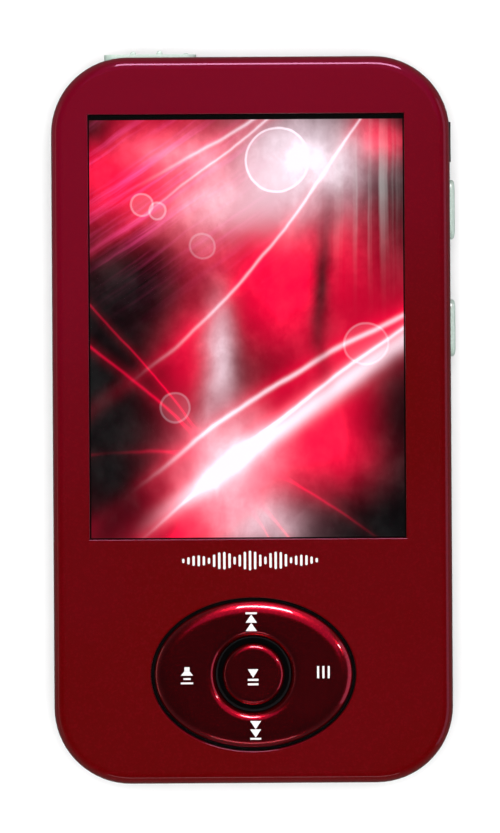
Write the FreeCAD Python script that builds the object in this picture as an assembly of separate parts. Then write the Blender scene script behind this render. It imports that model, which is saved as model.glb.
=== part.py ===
import FreeCAD, Part
import math
import os

# Digital audio player: a flat two-shell case with a recessed display, an oval rocker ring with a
# round button in it, two side keys, a slide switch on the top end and sockets on the other edges.
# Millimetres. The player lies on its back: +Z leaves the display, +Y points to the end with the
# slide switch, +X to the side with the keys. The origin is the middle of the flat rear face.

V = FreeCAD.Vector
AXIS_X = V(1, 0, 0)
AXIS_Y = V(0, 1, 0)
AXIS_Z = V(0, 0, 1)
TOUCH = 0.001

# Case
case_half_x = 23.35
case_half_y = 42.55
case_thickness = 10.0
corner_radius = 8.95
front_edge_radius = 1.5
rear_edge_radius = 2.2
seam_edge_radius = 0.15
wall = 1.3
seam_z = 5.2
floor_z = wall
plate_z = case_thickness - wall
lip_inset = 0.72
lip_height = 0.8
lip_gap = 0.05
cavity_half_x = case_half_x - wall
cavity_half_y = case_half_y - wall
opening_edge_radius = 0.2

# Display window and its opening in the front cover
window_x = -0.53
window_y = 10.97
window_half_x = 18.5
window_half_y = 24.85
pane_half_x = 19.9
pane_low_y = -15.2
pane_high_y = 36.65
pane_low_z = 8.3
pane_high_z = 9.0
pane_seat_z = 9.1
pane_gap = 0.08

# Display module
module_half_x = 20.5
module_low_y = -17.0
module_high_y = 36.6
module_low_z = 5.9
module_high_z = 8.2
module_wall = 0.25
module_floor = 0.2
guide_high_z = 7.0
glass_step_z = 7.6
glass_ledge_y = -13.9
flex_x = (-6.0, 8.0)
flex_thickness = 0.15
flex_bend_radius = 0.45
flex_leave_z = 7.1

# Rocker ring, its carrier and the round button
nav_y = -29.75
hole_half_x = 12.0
hole_half_y = 8.97
ring_half_x = 11.6
ring_half_y = 8.57
ring_flange = 1.3
ring_low_z = 7.55
ring_flange_z = 8.15
ring_high_z = 10.5
ring_outer_edge = 2.2
ring_outer_width = 1.65
ring_inner_edge = 1.2
ring_hole_radius = 4.4
carrier_half_x = 10.3
carrier_half_y = 7.9
carrier_hole_radius = 4.2
carrier_low_z = 6.9
carrier_high_z = 7.2
pip_gap = 0.05
pip_radius = 0.5
ring_pip_x = 8.6
carrier_pip_y = 6.6
button_radius = 3.65
button_edge = 0.8
mat_half_x = 10.3
mat_half_y = 8.0
mat_rim = 0.8
mat_web_z = (6.2, 6.5)
boot_radius = 1.8
dome_radius = 1.5
dome_height = 0.22
dome_x = 7.4
dome_y = 5.6
dome_gap = 0.05

# Main board
board_low_z = 4.9
board_high_z = 5.7
board_half_x = 20.8
board_low_y = -40.9
board_high_y = 38.9
board_corner = 6.5

# Screws: four hold the case, two hold the board
case_screw_x = 16.2
case_screw_y = 38.3
boss_radius = 1.55
screw_radius = 0.68
screw_hole_radius = 0.7
screw_head_radius = 1.3
screw_head_low_z = 0.15
screw_seat_z = 1.05
screw_recess_radius = 1.4
screw_clear_radius = 0.8
screw_tip_z = 7.6
cross_slot_width = 0.3
cross_slot_length = 1.5
cross_slot_depth = 0.5
board_screw_places = ((18.4, -27.8), (-14.2, -34.6))
board_screw_head = 0.8
board_screw_tip_z = 7.8

# Side keys: place along the case and length
key_places = {"power": (24.6, 7.0), "back": (10.7, 6.7)}
key_z = 4.6
key_height = 2.4
key_out_x = 24.0
key_in_x = 21.95
key_slot_gap = 0.15
key_flange_x = (21.35, 21.95)
key_flange_margin = 0.45
key_edge_radius = 0.35
nub_in_x = 20.95
nub_radius = 0.6
switch_z = 4.1
plunger_x = (20.25, 20.9)
plunger_half_y = 0.7
plunger_half_z = 0.5
side_switch_x = (17.6, 19.9)
side_switch_half_y = 2.2
side_switch_low_z = 3.3

# Slide switch on the top end
slider_x = -10.6
slider_half_x = 3.7
slider_travel = 2.2
slider_z = 6.2
slider_half_z = 0.85
slider_gap = 0.1
slider_low_y = 42.0
slider_high_y = 42.8
rib_width = 0.7
rib_pitch = 3.1
rib_tops = (43.28, 43.38, 43.07)
rib_edge_radius = 0.2
track_x = (-17.1, -6.3)
track_half_z = 1.6
track_low_y = 41.95
track_high_y = 42.92
track_end_radius = 1.2
fork_half_x = 1.3
fork_half_z = 0.4
fork_low_y = 39.6
fork_bridge_y = 41.0
lever_half_x = 0.4
lever_half_z = 0.35
lever_y = (38.95, 40.9)
slide_body_half_x = 3.6
slide_body_y = (36.8, 38.9)
slide_body_height = 1.4

# Strap bar in a pocket of the key side
pocket_y = (30.8, 34.4)
pocket_z = (1.9, 4.9)
pocket_in_x = 21.2
pocket_wall = 0.9
pocket_bottom_x = 20.3
bar_z = 3.4
bar_radius = 0.45
bar_x = 23.15
bar_end = 0.55

# Sockets
port_z = 4.15
jack_y = -20.15
jack_half_y = 3.1
jack_half_z = 2.35
jack_in_x = -9.0
jack_body_x = -22.0
jack_mouth_x = -23.25
jack_barrel_radius = 2.4
jack_bore_radius = 1.8
jack_bore_end_x = -9.9
jack_chamber_radius = 2.0
jack_chamber_depth = 0.5
jack_hole_radius = 2.5
usb_x = -7.5
usb_half_x = 3.85
usb_foot_half_x = 3.05
usb_half_z = 1.95
usb_shoulder_z = -0.55
usb_mouth_y = -42.45
usb_end_y = -33.5
usb_wall = 0.3
usb_gap = 0.2
tongue_half_x = 2.6
tongue_z = (4.2, 5.2)
tongue_mouth_y = -41.3
card_x = (0.3, 14.3)
card_y = (-41.1, -26.3)
card_low_z = 3.0
card_sheet = 0.15
card_base_thickness = 0.5
card_rail = 1.2
card_slot_x = (1.5, 13.1)
card_slot_z = (3.3, 4.3)

# Battery
battery_half_x = 17.0
battery_y = (-9.5, 30.5)
battery_z = (1.5, 4.5)
battery_edge_radius = 0.8
tape_margin = 4.0
tab_x = (6.0, 14.0)
tab_depth = 1.0
tab_z = (1.9, 2.9)
lead_radius = 0.35
lead_z = 2.4
battery_rib_height = 1.4
battery_rib_width = 0.6
battery_rib_gap = 0.15

# Microphone and reset switch
mic_x = 3.0
mic_z = 6.9
mic_radius = 1.3
mic_y = (39.2, 40.7)
mic_boot_radius = 1.6
mic_boot_end_y = 41.2
mic_hole_radius = 0.4
reset_x = -12.6
reset_y = -13.3
reset_body_z = 3.95
reset_plunger_z = (3.1, 3.7)
reset_plunger_radius = 0.5
reset_hole_radius = 0.55


def box(x_range, y_range, z_range):
    """A box from the low to the high value of each range."""
    size = [high - low for low, high in (x_range, y_range, z_range)]
    return Part.makeBox(size[0], size[1], size[2], V(x_range[0], y_range[0], z_range[0]))


def about(middle, half):
    """The range that reaches half to each side of a middle."""
    return (middle - half, middle + half)


def rod(radius, start, axis, length):
    """A cylinder from a start point along an axis."""
    return Part.makeCylinder(radius, length, V(*start), axis)


def post(radius, x, y, z_range):
    """An upright cylinder."""
    return rod(radius, (x, y, z_range[0]), AXIS_Z, z_range[1] - z_range[0])


def oval(half_x, half_y, z_range):
    """An upright elliptical disc about the middle of the rocker ring."""
    outline = Part.Ellipse(V(0, nav_y, z_range[0]), half_x, half_y)
    face = Part.Face(Part.Wire(outline.toShape()))
    return face.extrude(V(0, 0, z_range[1] - z_range[0]))


def round_along(shape, axis, radius):
    """Rounds every edge that runs along an axis."""
    edges = [e for e in shape.Edges if abs(e.tangentAt(e.FirstParameter).dot(axis)) > 1 - TOUCH]
    return shape.makeFillet(radius, edges)


def round_level(shape, level, radius, x_range=None, y_range=None):
    """Rounds the edges that lie flat at one height, inside the ranges if they are given."""
    edges = []
    for edge in shape.Edges:
        span = edge.BoundBox
        flat = abs(span.ZMin - level) < TOUCH and abs(span.ZMax - level) < TOUCH
        in_x = x_range is None or (span.XMin > x_range[0] and span.XMax < x_range[1])
        in_y = y_range is None or (span.YMin > y_range[0] and span.YMax < y_range[1])
        if flat and in_x and in_y:
            edges.append(edge)
    return shape.makeFillet(radius, edges)


def case_slab(inset, z_range):
    """The case's rounded outline, moved inwards, as an upright slab."""
    slab = box(about(0, case_half_x - inset), about(0, case_half_y - inset), z_range)
    return round_along(slab, AXIS_Z, corner_radius - inset)


def route(points):
    """A wire of straight runs joined by tangent arcs, each as large as its two runs allow."""
    points = [V(*p) for p in points]
    edges = []
    start = points[0]
    for before, corner, after in zip(points, points[1:], points[2:]):
        back = (before - corner).normalize()
        ahead = (after - corner).normalize()
        half_turn = (math.pi - back.getAngle(ahead)) / 2
        cut = 0.45 * min(before.distanceToPoint(corner), corner.distanceToPoint(after))
        radius = cut / math.tan(half_turn)
        arc_start = corner + back * cut
        arc_end = corner + ahead * cut
        towards = (back + ahead).normalize()
        middle = corner + towards * (math.hypot(radius, cut) - radius)
        edges.append(Part.LineSegment(start, arc_start).toShape())
        edges.append(Part.Arc(arc_start, middle, arc_end).toShape())
        start = arc_end
    edges.append(Part.LineSegment(start, points[-1]).toShape())
    return Part.Wire(edges)


def wire_lead(points):
    """A round wire along a route."""
    path = route(points)
    direction = V(*points[1]) - V(*points[0])
    section = Part.Wire(Part.Circle(V(*points[0]), direction, lead_radius).toShape())
    return path.makePipeShell([section], True, False)


def cross_slot(x, y, z_low):
    """The cross-shaped driver slot of a screw's head."""
    half_length = cross_slot_length / 2
    half_width = cross_slot_width / 2
    deep = (z_low - TOUCH, z_low + cross_slot_depth)
    along = box(about(x, half_length), about(y, half_width), deep)
    across = box(about(x, half_width), about(y, half_length), deep)
    return along.fuse(across)


def case_screw_places():
    """The four screw places of the case."""
    return [(sx * case_screw_x, sy * case_screw_y) for sx in (-1, 1) for sy in (-1, 1)]


def key_slots():
    """The rounded slots that the side keys stand in."""
    slots = []
    for place, length in key_places.values():
        half_y = length / 2 + key_slot_gap
        half_z = key_height / 2 + key_slot_gap
        slot = box((key_in_x, case_half_x + 1), about(place, half_y), about(key_z, half_z))
        slots.append(round_along(slot, AXIS_X, half_z - TOUCH))
    return slots


def slider_openings():
    """The seat of the slide switch's track and the slot behind it for the knob's fork."""
    seat = box(track_x, (track_low_y, case_half_y + 1), about(slider_z, track_half_z))
    seat = round_along(seat, AXIS_Y, track_end_radius)
    low_x = slider_x - fork_half_x - slider_travel - slider_gap
    high_x = slider_x + fork_half_x + slider_gap
    reach_y = (cavity_half_y - 1, track_low_y + TOUCH)
    return [seat, box((low_x, high_x), reach_y, about(slider_z, fork_half_z + slider_gap))]


def usb_section(margin, y_range):
    """The charging socket's outline, wide above a narrower foot, carried along Y."""
    wide = usb_half_x + margin
    foot = usb_foot_half_x + margin
    low = port_z - usb_half_z - margin
    shoulder = port_z + usb_shoulder_z - margin
    step = shoulder - (wide - foot)
    high = port_z + usb_half_z + margin
    half = [(foot, low), (foot, step), (wide, shoulder), (wide, high)]
    outline = half + [(-x, z) for x, z in reversed(half)]
    corners = [V(usb_x + x, y_range[0], z) for x, z in outline]
    face = Part.Face(Part.makePolygon(corners + corners[:1]))
    return face.extrude(V(0, y_range[1] - y_range[0], 0))


def case_openings():
    """Everything that is cut through the case's side walls, as tools for both covers."""
    outside = case_half_y + 1
    jack = rod(jack_hole_radius, (-case_half_x - 1, jack_y, port_z), AXIS_X, wall + 2)
    usb = usb_section(usb_gap, (-outside, 1 - cavity_half_y))
    card = box(card_slot_x, (-outside, card_y[0]), card_slot_z)
    mic = rod(mic_hole_radius, (mic_x, cavity_half_y - 1, mic_z), AXIS_Y, wall + 2)
    pocket = box((pocket_in_x, case_half_x + 1), pocket_y, pocket_z)
    pocket = round_along(pocket, AXIS_X, opening_edge_radius * 2)
    return key_slots() + slider_openings() + [jack, usb, card, mic, pocket]


def front_cover():
    """Front shell: edge-rounded plate with the window, the oval hole, bosses and posts inside."""
    shell = case_slab(0, (seam_z, case_thickness))
    shell = round_level(shell, case_thickness, front_edge_radius)
    shell = round_level(shell, seam_z, seam_edge_radius)
    shell = shell.cut(case_slab(wall, (seam_z, plate_z)))
    rebate_top = seam_z + lip_height + lip_gap
    shell = shell.cut(case_slab(lip_inset - lip_gap, (seam_z, rebate_top)))
    for x, y in case_screw_places():
        shell = shell.fuse(post(boss_radius, x, y, (seam_z, plate_z + TOUCH)))
        shell = shell.cut(post(screw_hole_radius, x, y, (seam_z, screw_tip_z + 0.3)))
    for x, y in board_screw_places:
        shell = shell.fuse(post(boss_radius, x, y, (board_high_z, plate_z + TOUCH)))
        shell = shell.cut(post(screw_hole_radius, x, y, (board_high_z, board_screw_tip_z + 0.2)))
    window_ranges = (about(window_x, window_half_x), about(window_y, window_half_y))
    shell = shell.cut(box(*window_ranges, (plate_z - 1, case_thickness + 1)))
    seat_x = about(window_x, pane_half_x + pane_gap)
    seat_y = (pane_low_y - pane_gap, pane_high_y + pane_gap)
    shell = shell.cut(box(seat_x, seat_y, (plate_z - 1, pane_seat_z)))
    shell = shell.cut(oval(hole_half_x, hole_half_y, (plate_z - 1, case_thickness + 1)))
    shell = shell.cut(case_openings())
    inside_x = about(0, case_half_x - front_edge_radius - 1)
    inside_y = about(0, case_half_y - front_edge_radius - 1)
    return round_level(shell, case_thickness, opening_edge_radius, inside_x, inside_y)


def rear_cover():
    """Rear shell: tray with a lip, screw pillars, battery ribs and the strap pocket's housing."""
    shell = case_slab(0, (0, seam_z))
    shell = round_level(shell, 0, rear_edge_radius)
    shell = round_level(shell, seam_z, seam_edge_radius)
    shell = shell.cut(case_slab(wall, (floor_z, seam_z)))
    lip = case_slab(lip_inset, (seam_z - 1, seam_z + lip_height))
    shell = shell.fuse(lip.cut(case_slab(wall, (seam_z - 2, seam_z + 2))))
    for x, y in case_screw_places():
        shell = shell.fuse(post(boss_radius, x, y, (floor_z - TOUCH, seam_z)))
        shell = shell.cut(post(screw_clear_radius, x, y, (0, seam_z)))
        shell = shell.cut(post(screw_recess_radius, x, y, (0, screw_seat_z)))
    rib_z = (floor_z - TOUCH, floor_z + battery_rib_height)
    rib_side = battery_half_x + battery_rib_gap
    for side in (-1, 1):
        rib_x = sorted((side * rib_side, side * (rib_side + battery_rib_width)))
        shell = shell.fuse(box(rib_x, (battery_y[0] + 1, battery_y[1] - 1), rib_z))
    rib_end = battery_y[1] + battery_rib_gap
    rib_y = (rib_end, rib_end + battery_rib_width)
    shell = shell.fuse(box(about(0, battery_half_x - 2), rib_y, rib_z))
    housing_y = (pocket_y[0] - pocket_wall, pocket_y[1] + pocket_wall)
    housing_x = (pocket_bottom_x, cavity_half_x + TOUCH)
    shell = shell.fuse(box(housing_x, housing_y, (floor_z - TOUCH, seam_z)))
    shell = shell.cut(case_openings())
    bar_y = (pocket_y[0] - bar_end, pocket_y[1] + bar_end)
    shell = shell.cut(rod(bar_radius, (bar_x, bar_y[0], bar_z), AXIS_Y, bar_y[1] - bar_y[0]))
    return shell.cut(post(reset_hole_radius, reset_x, reset_y, (-1, floor_z + 1)))


def strap_bar():
    """Steel bar across the strap pocket, its ends held in the rear cover."""
    length = pocket_y[1] - pocket_y[0] + 2 * bar_end
    return rod(bar_radius, (bar_x, pocket_y[0] - bar_end, bar_z), AXIS_Y, length)


def display_window():
    """Clear pane behind the opening."""
    pane = box(about(window_x, pane_half_x), (pane_low_y, pane_high_y), (pane_low_z, pane_high_z))
    return round_along(pane, AXIS_Z, opening_edge_radius)


def window_adhesive():
    """Thin ring of adhesive between the pane and the front cover."""
    ring = box(about(window_x, pane_half_x), (pane_low_y, pane_high_y), (pane_high_z, pane_seat_z))
    inner_x = about(window_x, window_half_x + opening_edge_radius)
    inner_y = about(window_y, window_half_y + opening_edge_radius)
    return ring.cut(box(inner_x, inner_y, (pane_high_z, pane_seat_z)))


def display_gasket():
    """Foam ring that keeps dust out between the display and the pane."""
    ring_z = (module_high_z, pane_low_z)
    ring = box(about(window_x, pane_half_x), (pane_low_y, pane_high_y - opening_edge_radius), ring_z)
    inner_x = about(window_x, window_half_x + 0.25)
    inner_y = about(window_y, window_half_y + 0.25)
    return ring.cut(box(inner_x, inner_y, ring_z))


def display_frame():
    """Pressed steel tray of the display, with a slot for the flex."""
    outer_y = (module_low_y, module_high_y)
    tray = box(about(window_x, module_half_x), outer_y, (module_low_z, module_high_z))
    inner_x = about(window_x, module_half_x - module_wall)
    inner_y = (module_low_y + module_wall, module_high_y - module_wall)
    tray = tray.cut(box(inner_x, inner_y, (module_low_z + module_floor, module_high_z)))
    slot_y = (module_low_y - 1, module_low_y + module_wall)
    slot_z = about(flex_leave_z, flex_thickness + 0.1)
    return tray.cut(box((flex_x[0] - 0.3, flex_x[1] + 0.3), slot_y, slot_z))


def module_layer(z_range, low_y=module_low_y + 0.3):
    """One layer of the display inside its tray."""
    return box(about(window_x, module_half_x - 0.3), (low_y, module_high_y - 0.3), z_range)


def light_guide():
    """Clear light guide behind the glass."""
    return module_layer((module_low_z + module_floor, guide_high_z))


def display_panel():
    """Two bonded sheets of glass, the rear one longer to carry the driver."""
    rear_glass = module_layer((guide_high_z, glass_step_z))
    return rear_glass.fuse(module_layer((glass_step_z, module_high_z), glass_ledge_y))


def display_driver():
    """Driver chip on the rear glass's ledge."""
    return box((-8.0, 7.0), (-16.2, -14.6), (glass_step_z, glass_step_z + 0.45))


def display_flex():
    """Ribbon that leaves the glass, drops in two bends and enters its connector."""
    half = flex_thickness / 2
    start_y = module_low_y + 0.28
    first_y = module_low_y - 0.25
    bend_y = first_y - flex_bend_radius
    last_y = bend_y - flex_bend_radius
    drop_z = flex_leave_z - flex_bend_radius
    low_z = drop_z - flex_bend_radius
    bow = flex_bend_radius * math.sqrt(0.5)
    x = flex_x[0]
    points = [V(x, start_y, flex_leave_z), V(x, first_y, flex_leave_z), V(x, bend_y, drop_z)]
    upper_middle = V(x, first_y - bow, drop_z + bow)
    lower_middle = V(x, last_y + bow, drop_z - bow)
    lower_end = V(x, last_y, low_z)
    path = Part.Wire([
        Part.LineSegment(points[0], points[1]).toShape(),
        Part.Arc(points[1], upper_middle, points[2]).toShape(),
        Part.Arc(points[2], lower_middle, lower_end).toShape(),
        Part.LineSegment(lower_end, V(x, connector_face_y(), low_z)).toShape(),
    ])
    corners = [V(flex_x[0], start_y, flex_leave_z - half), V(flex_x[1], start_y, flex_leave_z - half)]
    corners += [V(flex_x[1], start_y, flex_leave_z + half), V(flex_x[0], start_y, flex_leave_z + half)]
    section = Part.makePolygon(corners + corners[:1])
    return path.makePipeShell([section], True, True)


def connector_face_y():
    """Where the ribbon enters its connector."""
    return module_low_y - 1.4


def display_connector():
    """Ribbon connector on the board."""
    face_y = connector_face_y()
    return box((-8.0, 10.0), (face_y - 2.8, face_y), (board_high_z, board_high_z + 1.0))


def nav_ring():
    """Oval rocker ring with a flange under the front cover and rounded rims."""
    z_range = (ring_low_z, ring_high_z)
    beyond = ring_outer_edge - ring_outer_width
    ring = round_level(oval(ring_half_x + beyond, ring_half_y + beyond, z_range), ring_high_z, ring_outer_edge)
    ring = ring.common(oval(ring_half_x, ring_half_y, z_range))
    flange = oval(ring_half_x + ring_flange, ring_half_y + ring_flange, (ring_low_z, ring_flange_z))
    ring = ring.fuse(flange)
    ring = ring.cut(post(ring_hole_radius, 0, nav_y, (ring_low_z - 1, ring_high_z + 1)))
    hole = about(0, ring_hole_radius + TOUCH)
    hole_y = about(nav_y, ring_hole_radius + TOUCH)
    return round_level(ring, ring_high_z, ring_inner_edge, hole, hole_y)


def nav_carrier():
    """Thin oval plate under the ring, with two pips on which the ring rocks lengthways."""
    plate = oval(carrier_half_x, carrier_half_y, (carrier_low_z, carrier_high_z))
    plate = plate.cut(post(carrier_hole_radius, 0, nav_y, (carrier_low_z, carrier_high_z)))
    for side in (-1, 1):
        pip_z = (carrier_high_z - TOUCH, ring_low_z - pip_gap)
        plate = plate.fuse(post(pip_radius, side * ring_pip_x, nav_y, pip_z))
    return plate


def dome_places():
    """The five switch places: the button's in the middle and one under each end of the ring."""
    return [(0, nav_y), (dome_x, nav_y), (-dome_x, nav_y), (0, nav_y + dome_y), (0, nav_y - dome_y)]


def keypad_mat():
    """Rubber mat with a rim on the board, a nub over each dome and two pips for the carrier."""
    mat = oval(mat_half_x, mat_half_y, (board_high_z, mat_web_z[1]))
    hollow = oval(mat_half_x - mat_rim, mat_half_y - mat_rim, (board_high_z, mat_web_z[0]))
    mat = mat.cut(hollow)
    mat = mat.cut(usb_section(usb_gap, (-case_half_y, usb_end_y + usb_gap)))
    nub_z = (board_high_z + dome_height + dome_gap, mat_web_z[0] + TOUCH)
    for x, y in dome_places():
        mat = mat.fuse(post(dome_radius / 2, x, y, nub_z))
    for side in (-1, 1):
        pip_z = (mat_web_z[1] - TOUCH, carrier_low_z - pip_gap)
        mat = mat.fuse(post(pip_radius, 0, nav_y + side * carrier_pip_y, pip_z))
    return mat


def button_boot():
    """Rubber cushion between the mat and the round button; it gives as the button goes in."""
    return post(boot_radius, 0, nav_y, (mat_web_z[1], carrier_low_z))


def play_button():
    """Round button in the ring's hole."""
    button = post(button_radius, 0, nav_y, (carrier_low_z, ring_high_z))
    return round_level(button, ring_high_z, button_edge)


def dome_switches():
    """Snap domes on the board, flat-topped cones."""
    domes = []
    for x, y in dome_places():
        base = V(x, y, board_high_z)
        domes.append(Part.makeCone(dome_radius, dome_radius * 0.6, dome_height, base, AXIS_Z))
    return Part.makeCompound(domes)


def side_key(name):
    """Side key: a rounded cap through the wall, a flange behind it and a nub for the switch."""
    place, length = key_places[name]
    cap = box((key_in_x, key_out_x), about(place, length / 2), about(key_z, key_height / 2))
    cap = round_along(cap, AXIS_X, key_height / 2 - TOUCH)
    rim = [e for e in cap.Edges if e.BoundBox.XMin > key_out_x - TOUCH]
    cap = cap.makeFillet(key_edge_radius, rim)
    flange_y = about(place, length / 2 + key_flange_margin)
    flange = box(key_flange_x, flange_y, about(key_z, key_height / 2 + key_flange_margin))
    nub = rod(nub_radius, (nub_in_x, place, switch_z), AXIS_X, key_flange_x[0] - nub_in_x)
    return cap.fuse([round_along(flange, AXIS_X, nub_radius), nub]).removeSplitter()


def switch_plunger(name):
    """Plunger of a side switch, pushed by the key's nub."""
    place = key_places[name][0]
    return box(plunger_x, about(place, plunger_half_y), about(switch_z, plunger_half_z))


def side_switches():
    """Bodies of the two side switches under the board's edge."""
    bodies = []
    for place, _ in key_places.values():
        body_z = (side_switch_low_z, board_low_z)
        bodies.append(box(side_switch_x, about(place, side_switch_half_y), body_z))
    return Part.makeCompound(bodies)


def switch_track():
    """Plate set in the top end, with the slot that the knob slides in."""
    plate = box(track_x, (track_low_y, track_high_y), about(slider_z, track_half_z))
    plate = round_along(plate, AXIS_Y, track_end_radius)
    low_x = slider_x - slider_half_x - slider_travel - slider_gap
    slot_x = (low_x, slider_x + slider_half_x + slider_gap)
    slot_y = (track_low_y - 1, track_high_y + 1)
    return plate.cut(box(slot_x, slot_y, about(slider_z, slider_half_z + slider_gap)))


def switch_knob():
    """Sliding knob with three finger ribs outside and a fork inside."""
    knob_z = about(slider_z, slider_half_z)
    knob = box(about(slider_x, slider_half_x), (slider_low_y, slider_high_y), knob_z)
    for index, top in enumerate(rib_tops):
        middle = slider_x + (index - 1) * rib_pitch
        rib = box(about(middle, rib_width / 2), (slider_low_y, top), knob_z)
        crest = [e for e in rib.Edges if e.BoundBox.YMin > top - TOUCH]
        knob = knob.fuse(rib.makeFillet(rib_edge_radius, crest))
    fork_z = about(slider_z, fork_half_z)
    bridge = box(about(slider_x, fork_half_x), (fork_bridge_y, slider_low_y + TOUCH), fork_z)
    knob = knob.fuse(bridge)
    inner = lever_half_x + lip_gap
    for side in (-1, 1):
        prong_x = sorted((slider_x + side * inner, slider_x + side * fork_half_x))
        knob = knob.fuse(box(prong_x, (fork_low_y, fork_bridge_y + TOUCH), fork_z))
    return knob.removeSplitter()


def slide_switch():
    """Body of the slide switch on the board."""
    body_z = (board_high_z, board_high_z + slide_body_height)
    return box(about(slider_x, slide_body_half_x), slide_body_y, body_z)


def slide_lever():
    """Lever of the slide switch, held in the knob's fork."""
    return box(about(slider_x, lever_half_x), lever_y, about(slider_z, lever_half_z))


def main_board():
    """Board with room for the pillars, the jack, the charging socket and the strap pocket."""
    thick = (board_low_z, board_high_z)
    board = box(about(0, board_half_x), (board_low_y, board_high_y), thick)
    board = round_along(board, AXIS_Z, board_corner)
    for x, y in case_screw_places():
        board = board.cut(post(boss_radius + 0.3, x, y, thick))
    for x, y in board_screw_places:
        board = board.cut(post(screw_clear_radius, x, y, thick))
    jack_room = box((-case_half_x, jack_in_x + 0.2), about(jack_y, jack_half_y + 0.2), thick)
    usb_room = box(about(usb_x, usb_half_x + 0.2), (-case_half_y, usb_end_y + 0.2), thick)
    strap_y = (pocket_y[0] - pocket_wall - 0.2, pocket_y[1] + pocket_wall + 0.2)
    strap_room = box((pocket_bottom_x - 0.2, case_half_x), strap_y, thick)
    return board.cut([jack_room, usb_room, strap_room])


def case_screws():
    """Four screws from the rear, each with a cross slot in its head."""
    screws = []
    for x, y in case_screw_places():
        head = post(screw_head_radius, x, y, (screw_head_low_z, screw_seat_z))
        shank = post(screw_radius, x, y, (screw_seat_z - TOUCH, screw_tip_z))
        screws.append(head.fuse(shank).cut(cross_slot(x, y, screw_head_low_z)))
    return Part.makeCompound(screws)


def board_screws():
    """Two screws that hold the board to the front cover's posts."""
    screws = []
    head_low = board_low_z - board_screw_head
    for x, y in board_screw_places:
        head = post(screw_head_radius, x, y, (head_low, board_low_z))
        shank = post(screw_radius, x, y, (board_low_z - TOUCH, board_screw_tip_z))
        screws.append(head.fuse(shank).cut(cross_slot(x, y, head_low)))
    return Part.makeCompound(screws)


def headphone_jack():
    """Jack block with a round mouth through the wall, a bore and a wider blind end for the tip."""
    block = box((jack_body_x, jack_in_x), about(jack_y, jack_half_y), about(port_z, jack_half_z))
    mouth = (jack_mouth_x, jack_y, port_z)
    block = block.fuse(rod(jack_barrel_radius, mouth, AXIS_X, jack_body_x - jack_mouth_x + TOUCH))
    block = block.cut(rod(jack_bore_radius, mouth, AXIS_X, jack_bore_end_x - jack_mouth_x))
    chamber = (jack_bore_end_x, jack_y, port_z)
    block = block.cut(rod(jack_chamber_radius, chamber, AXIS_X, jack_chamber_depth))
    return block.removeSplitter()


def jack_contacts():
    """Solder tabs of the jack on the board."""
    tabs = []
    for x in (-19.0, -14.5, -11.0):
        for side in (-1, 1):
            start = jack_y + side * jack_half_y
            tab_y = sorted((start, start + side * 1.0))
            tabs.append(box(about(x, 0.4), tab_y, (board_high_z, board_high_z + 0.15)))
    return Part.makeCompound(tabs)


def usb_shell():
    """Steel shell of the charging socket, open at its mouth."""
    shell = usb_section(0, (usb_mouth_y, usb_end_y))
    return shell.cut(usb_section(-usb_wall, (usb_mouth_y - 1, usb_end_y - usb_wall)))


def usb_tongue():
    """Plastic tongue and back block inside the charging socket."""
    back = usb_section(-usb_wall, (usb_end_y - usb_wall - 1.2, usb_end_y - usb_wall))
    tongue_y = (tongue_mouth_y, usb_end_y - usb_wall)
    return back.fuse(box(about(usb_x, tongue_half_x), tongue_y, tongue_z)).removeSplitter()


def about_card(margin):
    """The card socket's width, widened by a margin."""
    return (card_x[0] - margin, card_x[1] + margin)


def card_base():
    """Plastic base of the memory card socket: a plate with two rails and a back stop."""
    plate_low = board_low_z - card_base_thickness
    plate = box(about_card(-card_sheet), card_y, (plate_low, board_low_z))
    low_z = card_low_z + card_sheet
    inner = about_card(-card_sheet - card_rail)
    outer = about_card(-card_sheet)
    rails = [
        box((outer[0], inner[0]), card_y, (low_z, plate_low + TOUCH)),
        box((inner[1], outer[1]), card_y, (low_z, plate_low + TOUCH)),
        box(outer, (card_y[1] - card_rail, card_y[1]), (low_z, plate_low + TOUCH)),
    ]
    return plate.fuse(rails).removeSplitter()


def card_cover():
    """Folded steel cover of the memory card socket."""
    cover = box(card_x, card_y, (card_low_z, board_low_z))
    inner_z = (card_low_z + card_sheet, board_low_z)
    inner = box(about_card(-card_sheet), (card_y[0] - 1, card_y[1] + 1), inner_z)
    return cover.cut(inner)


def battery_cell():
    """Flat lithium cell with soft edges."""
    cell = box(about(0, battery_half_x), battery_y, battery_z)
    return round_along(cell, AXIS_Y, battery_edge_radius)


def battery_tape():
    """Double-sided tape that holds the cell to the rear cover."""
    tape_y = (battery_y[0] + tape_margin, battery_y[1] - tape_margin)
    return box(about(0, battery_half_x - tape_margin), tape_y, (floor_z, battery_z[0]))


def battery_tabs():
    """Small protection board at the cell's lower end."""
    return box(tab_x, (battery_y[0] - tab_depth, battery_y[0]), tab_z)


def positive_lead():
    """Wire from the cell to the board's edge."""
    start = (12.6, battery_y[0] - tab_depth, lead_z)
    pad = (19.3, -8.0, board_low_z)
    return wire_lead([start, (12.6, -12.2, lead_z), (18.9, -12.0, lead_z), (19.3, -8.0, lead_z), pad])


def negative_lead():
    """Second wire, outside the first."""
    start = (9.6, battery_y[0] - tab_depth, lead_z)
    pad = (20.3, -6.0, board_low_z)
    return wire_lead([start, (9.6, -13.6, lead_z), (19.6, -13.4, lead_z), (20.3, -6.0, lead_z), pad])


def chip(x, y, size_x, size_y, thickness, top=False):
    """A component's body on the board's underside, or on its top."""
    z_range = (board_low_z - thickness, board_low_z)
    if top:
        z_range = (board_high_z, board_high_z + thickness)
    return box(about(x, size_x / 2), about(y, size_y / 2), z_range)


def output_capacitors():
    """Two capacitors beside the jack."""
    return Part.makeCompound([chip(-17.0, y, 3.5, 2.8, 1.6) for y in (-27.2, -30.8)])


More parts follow.
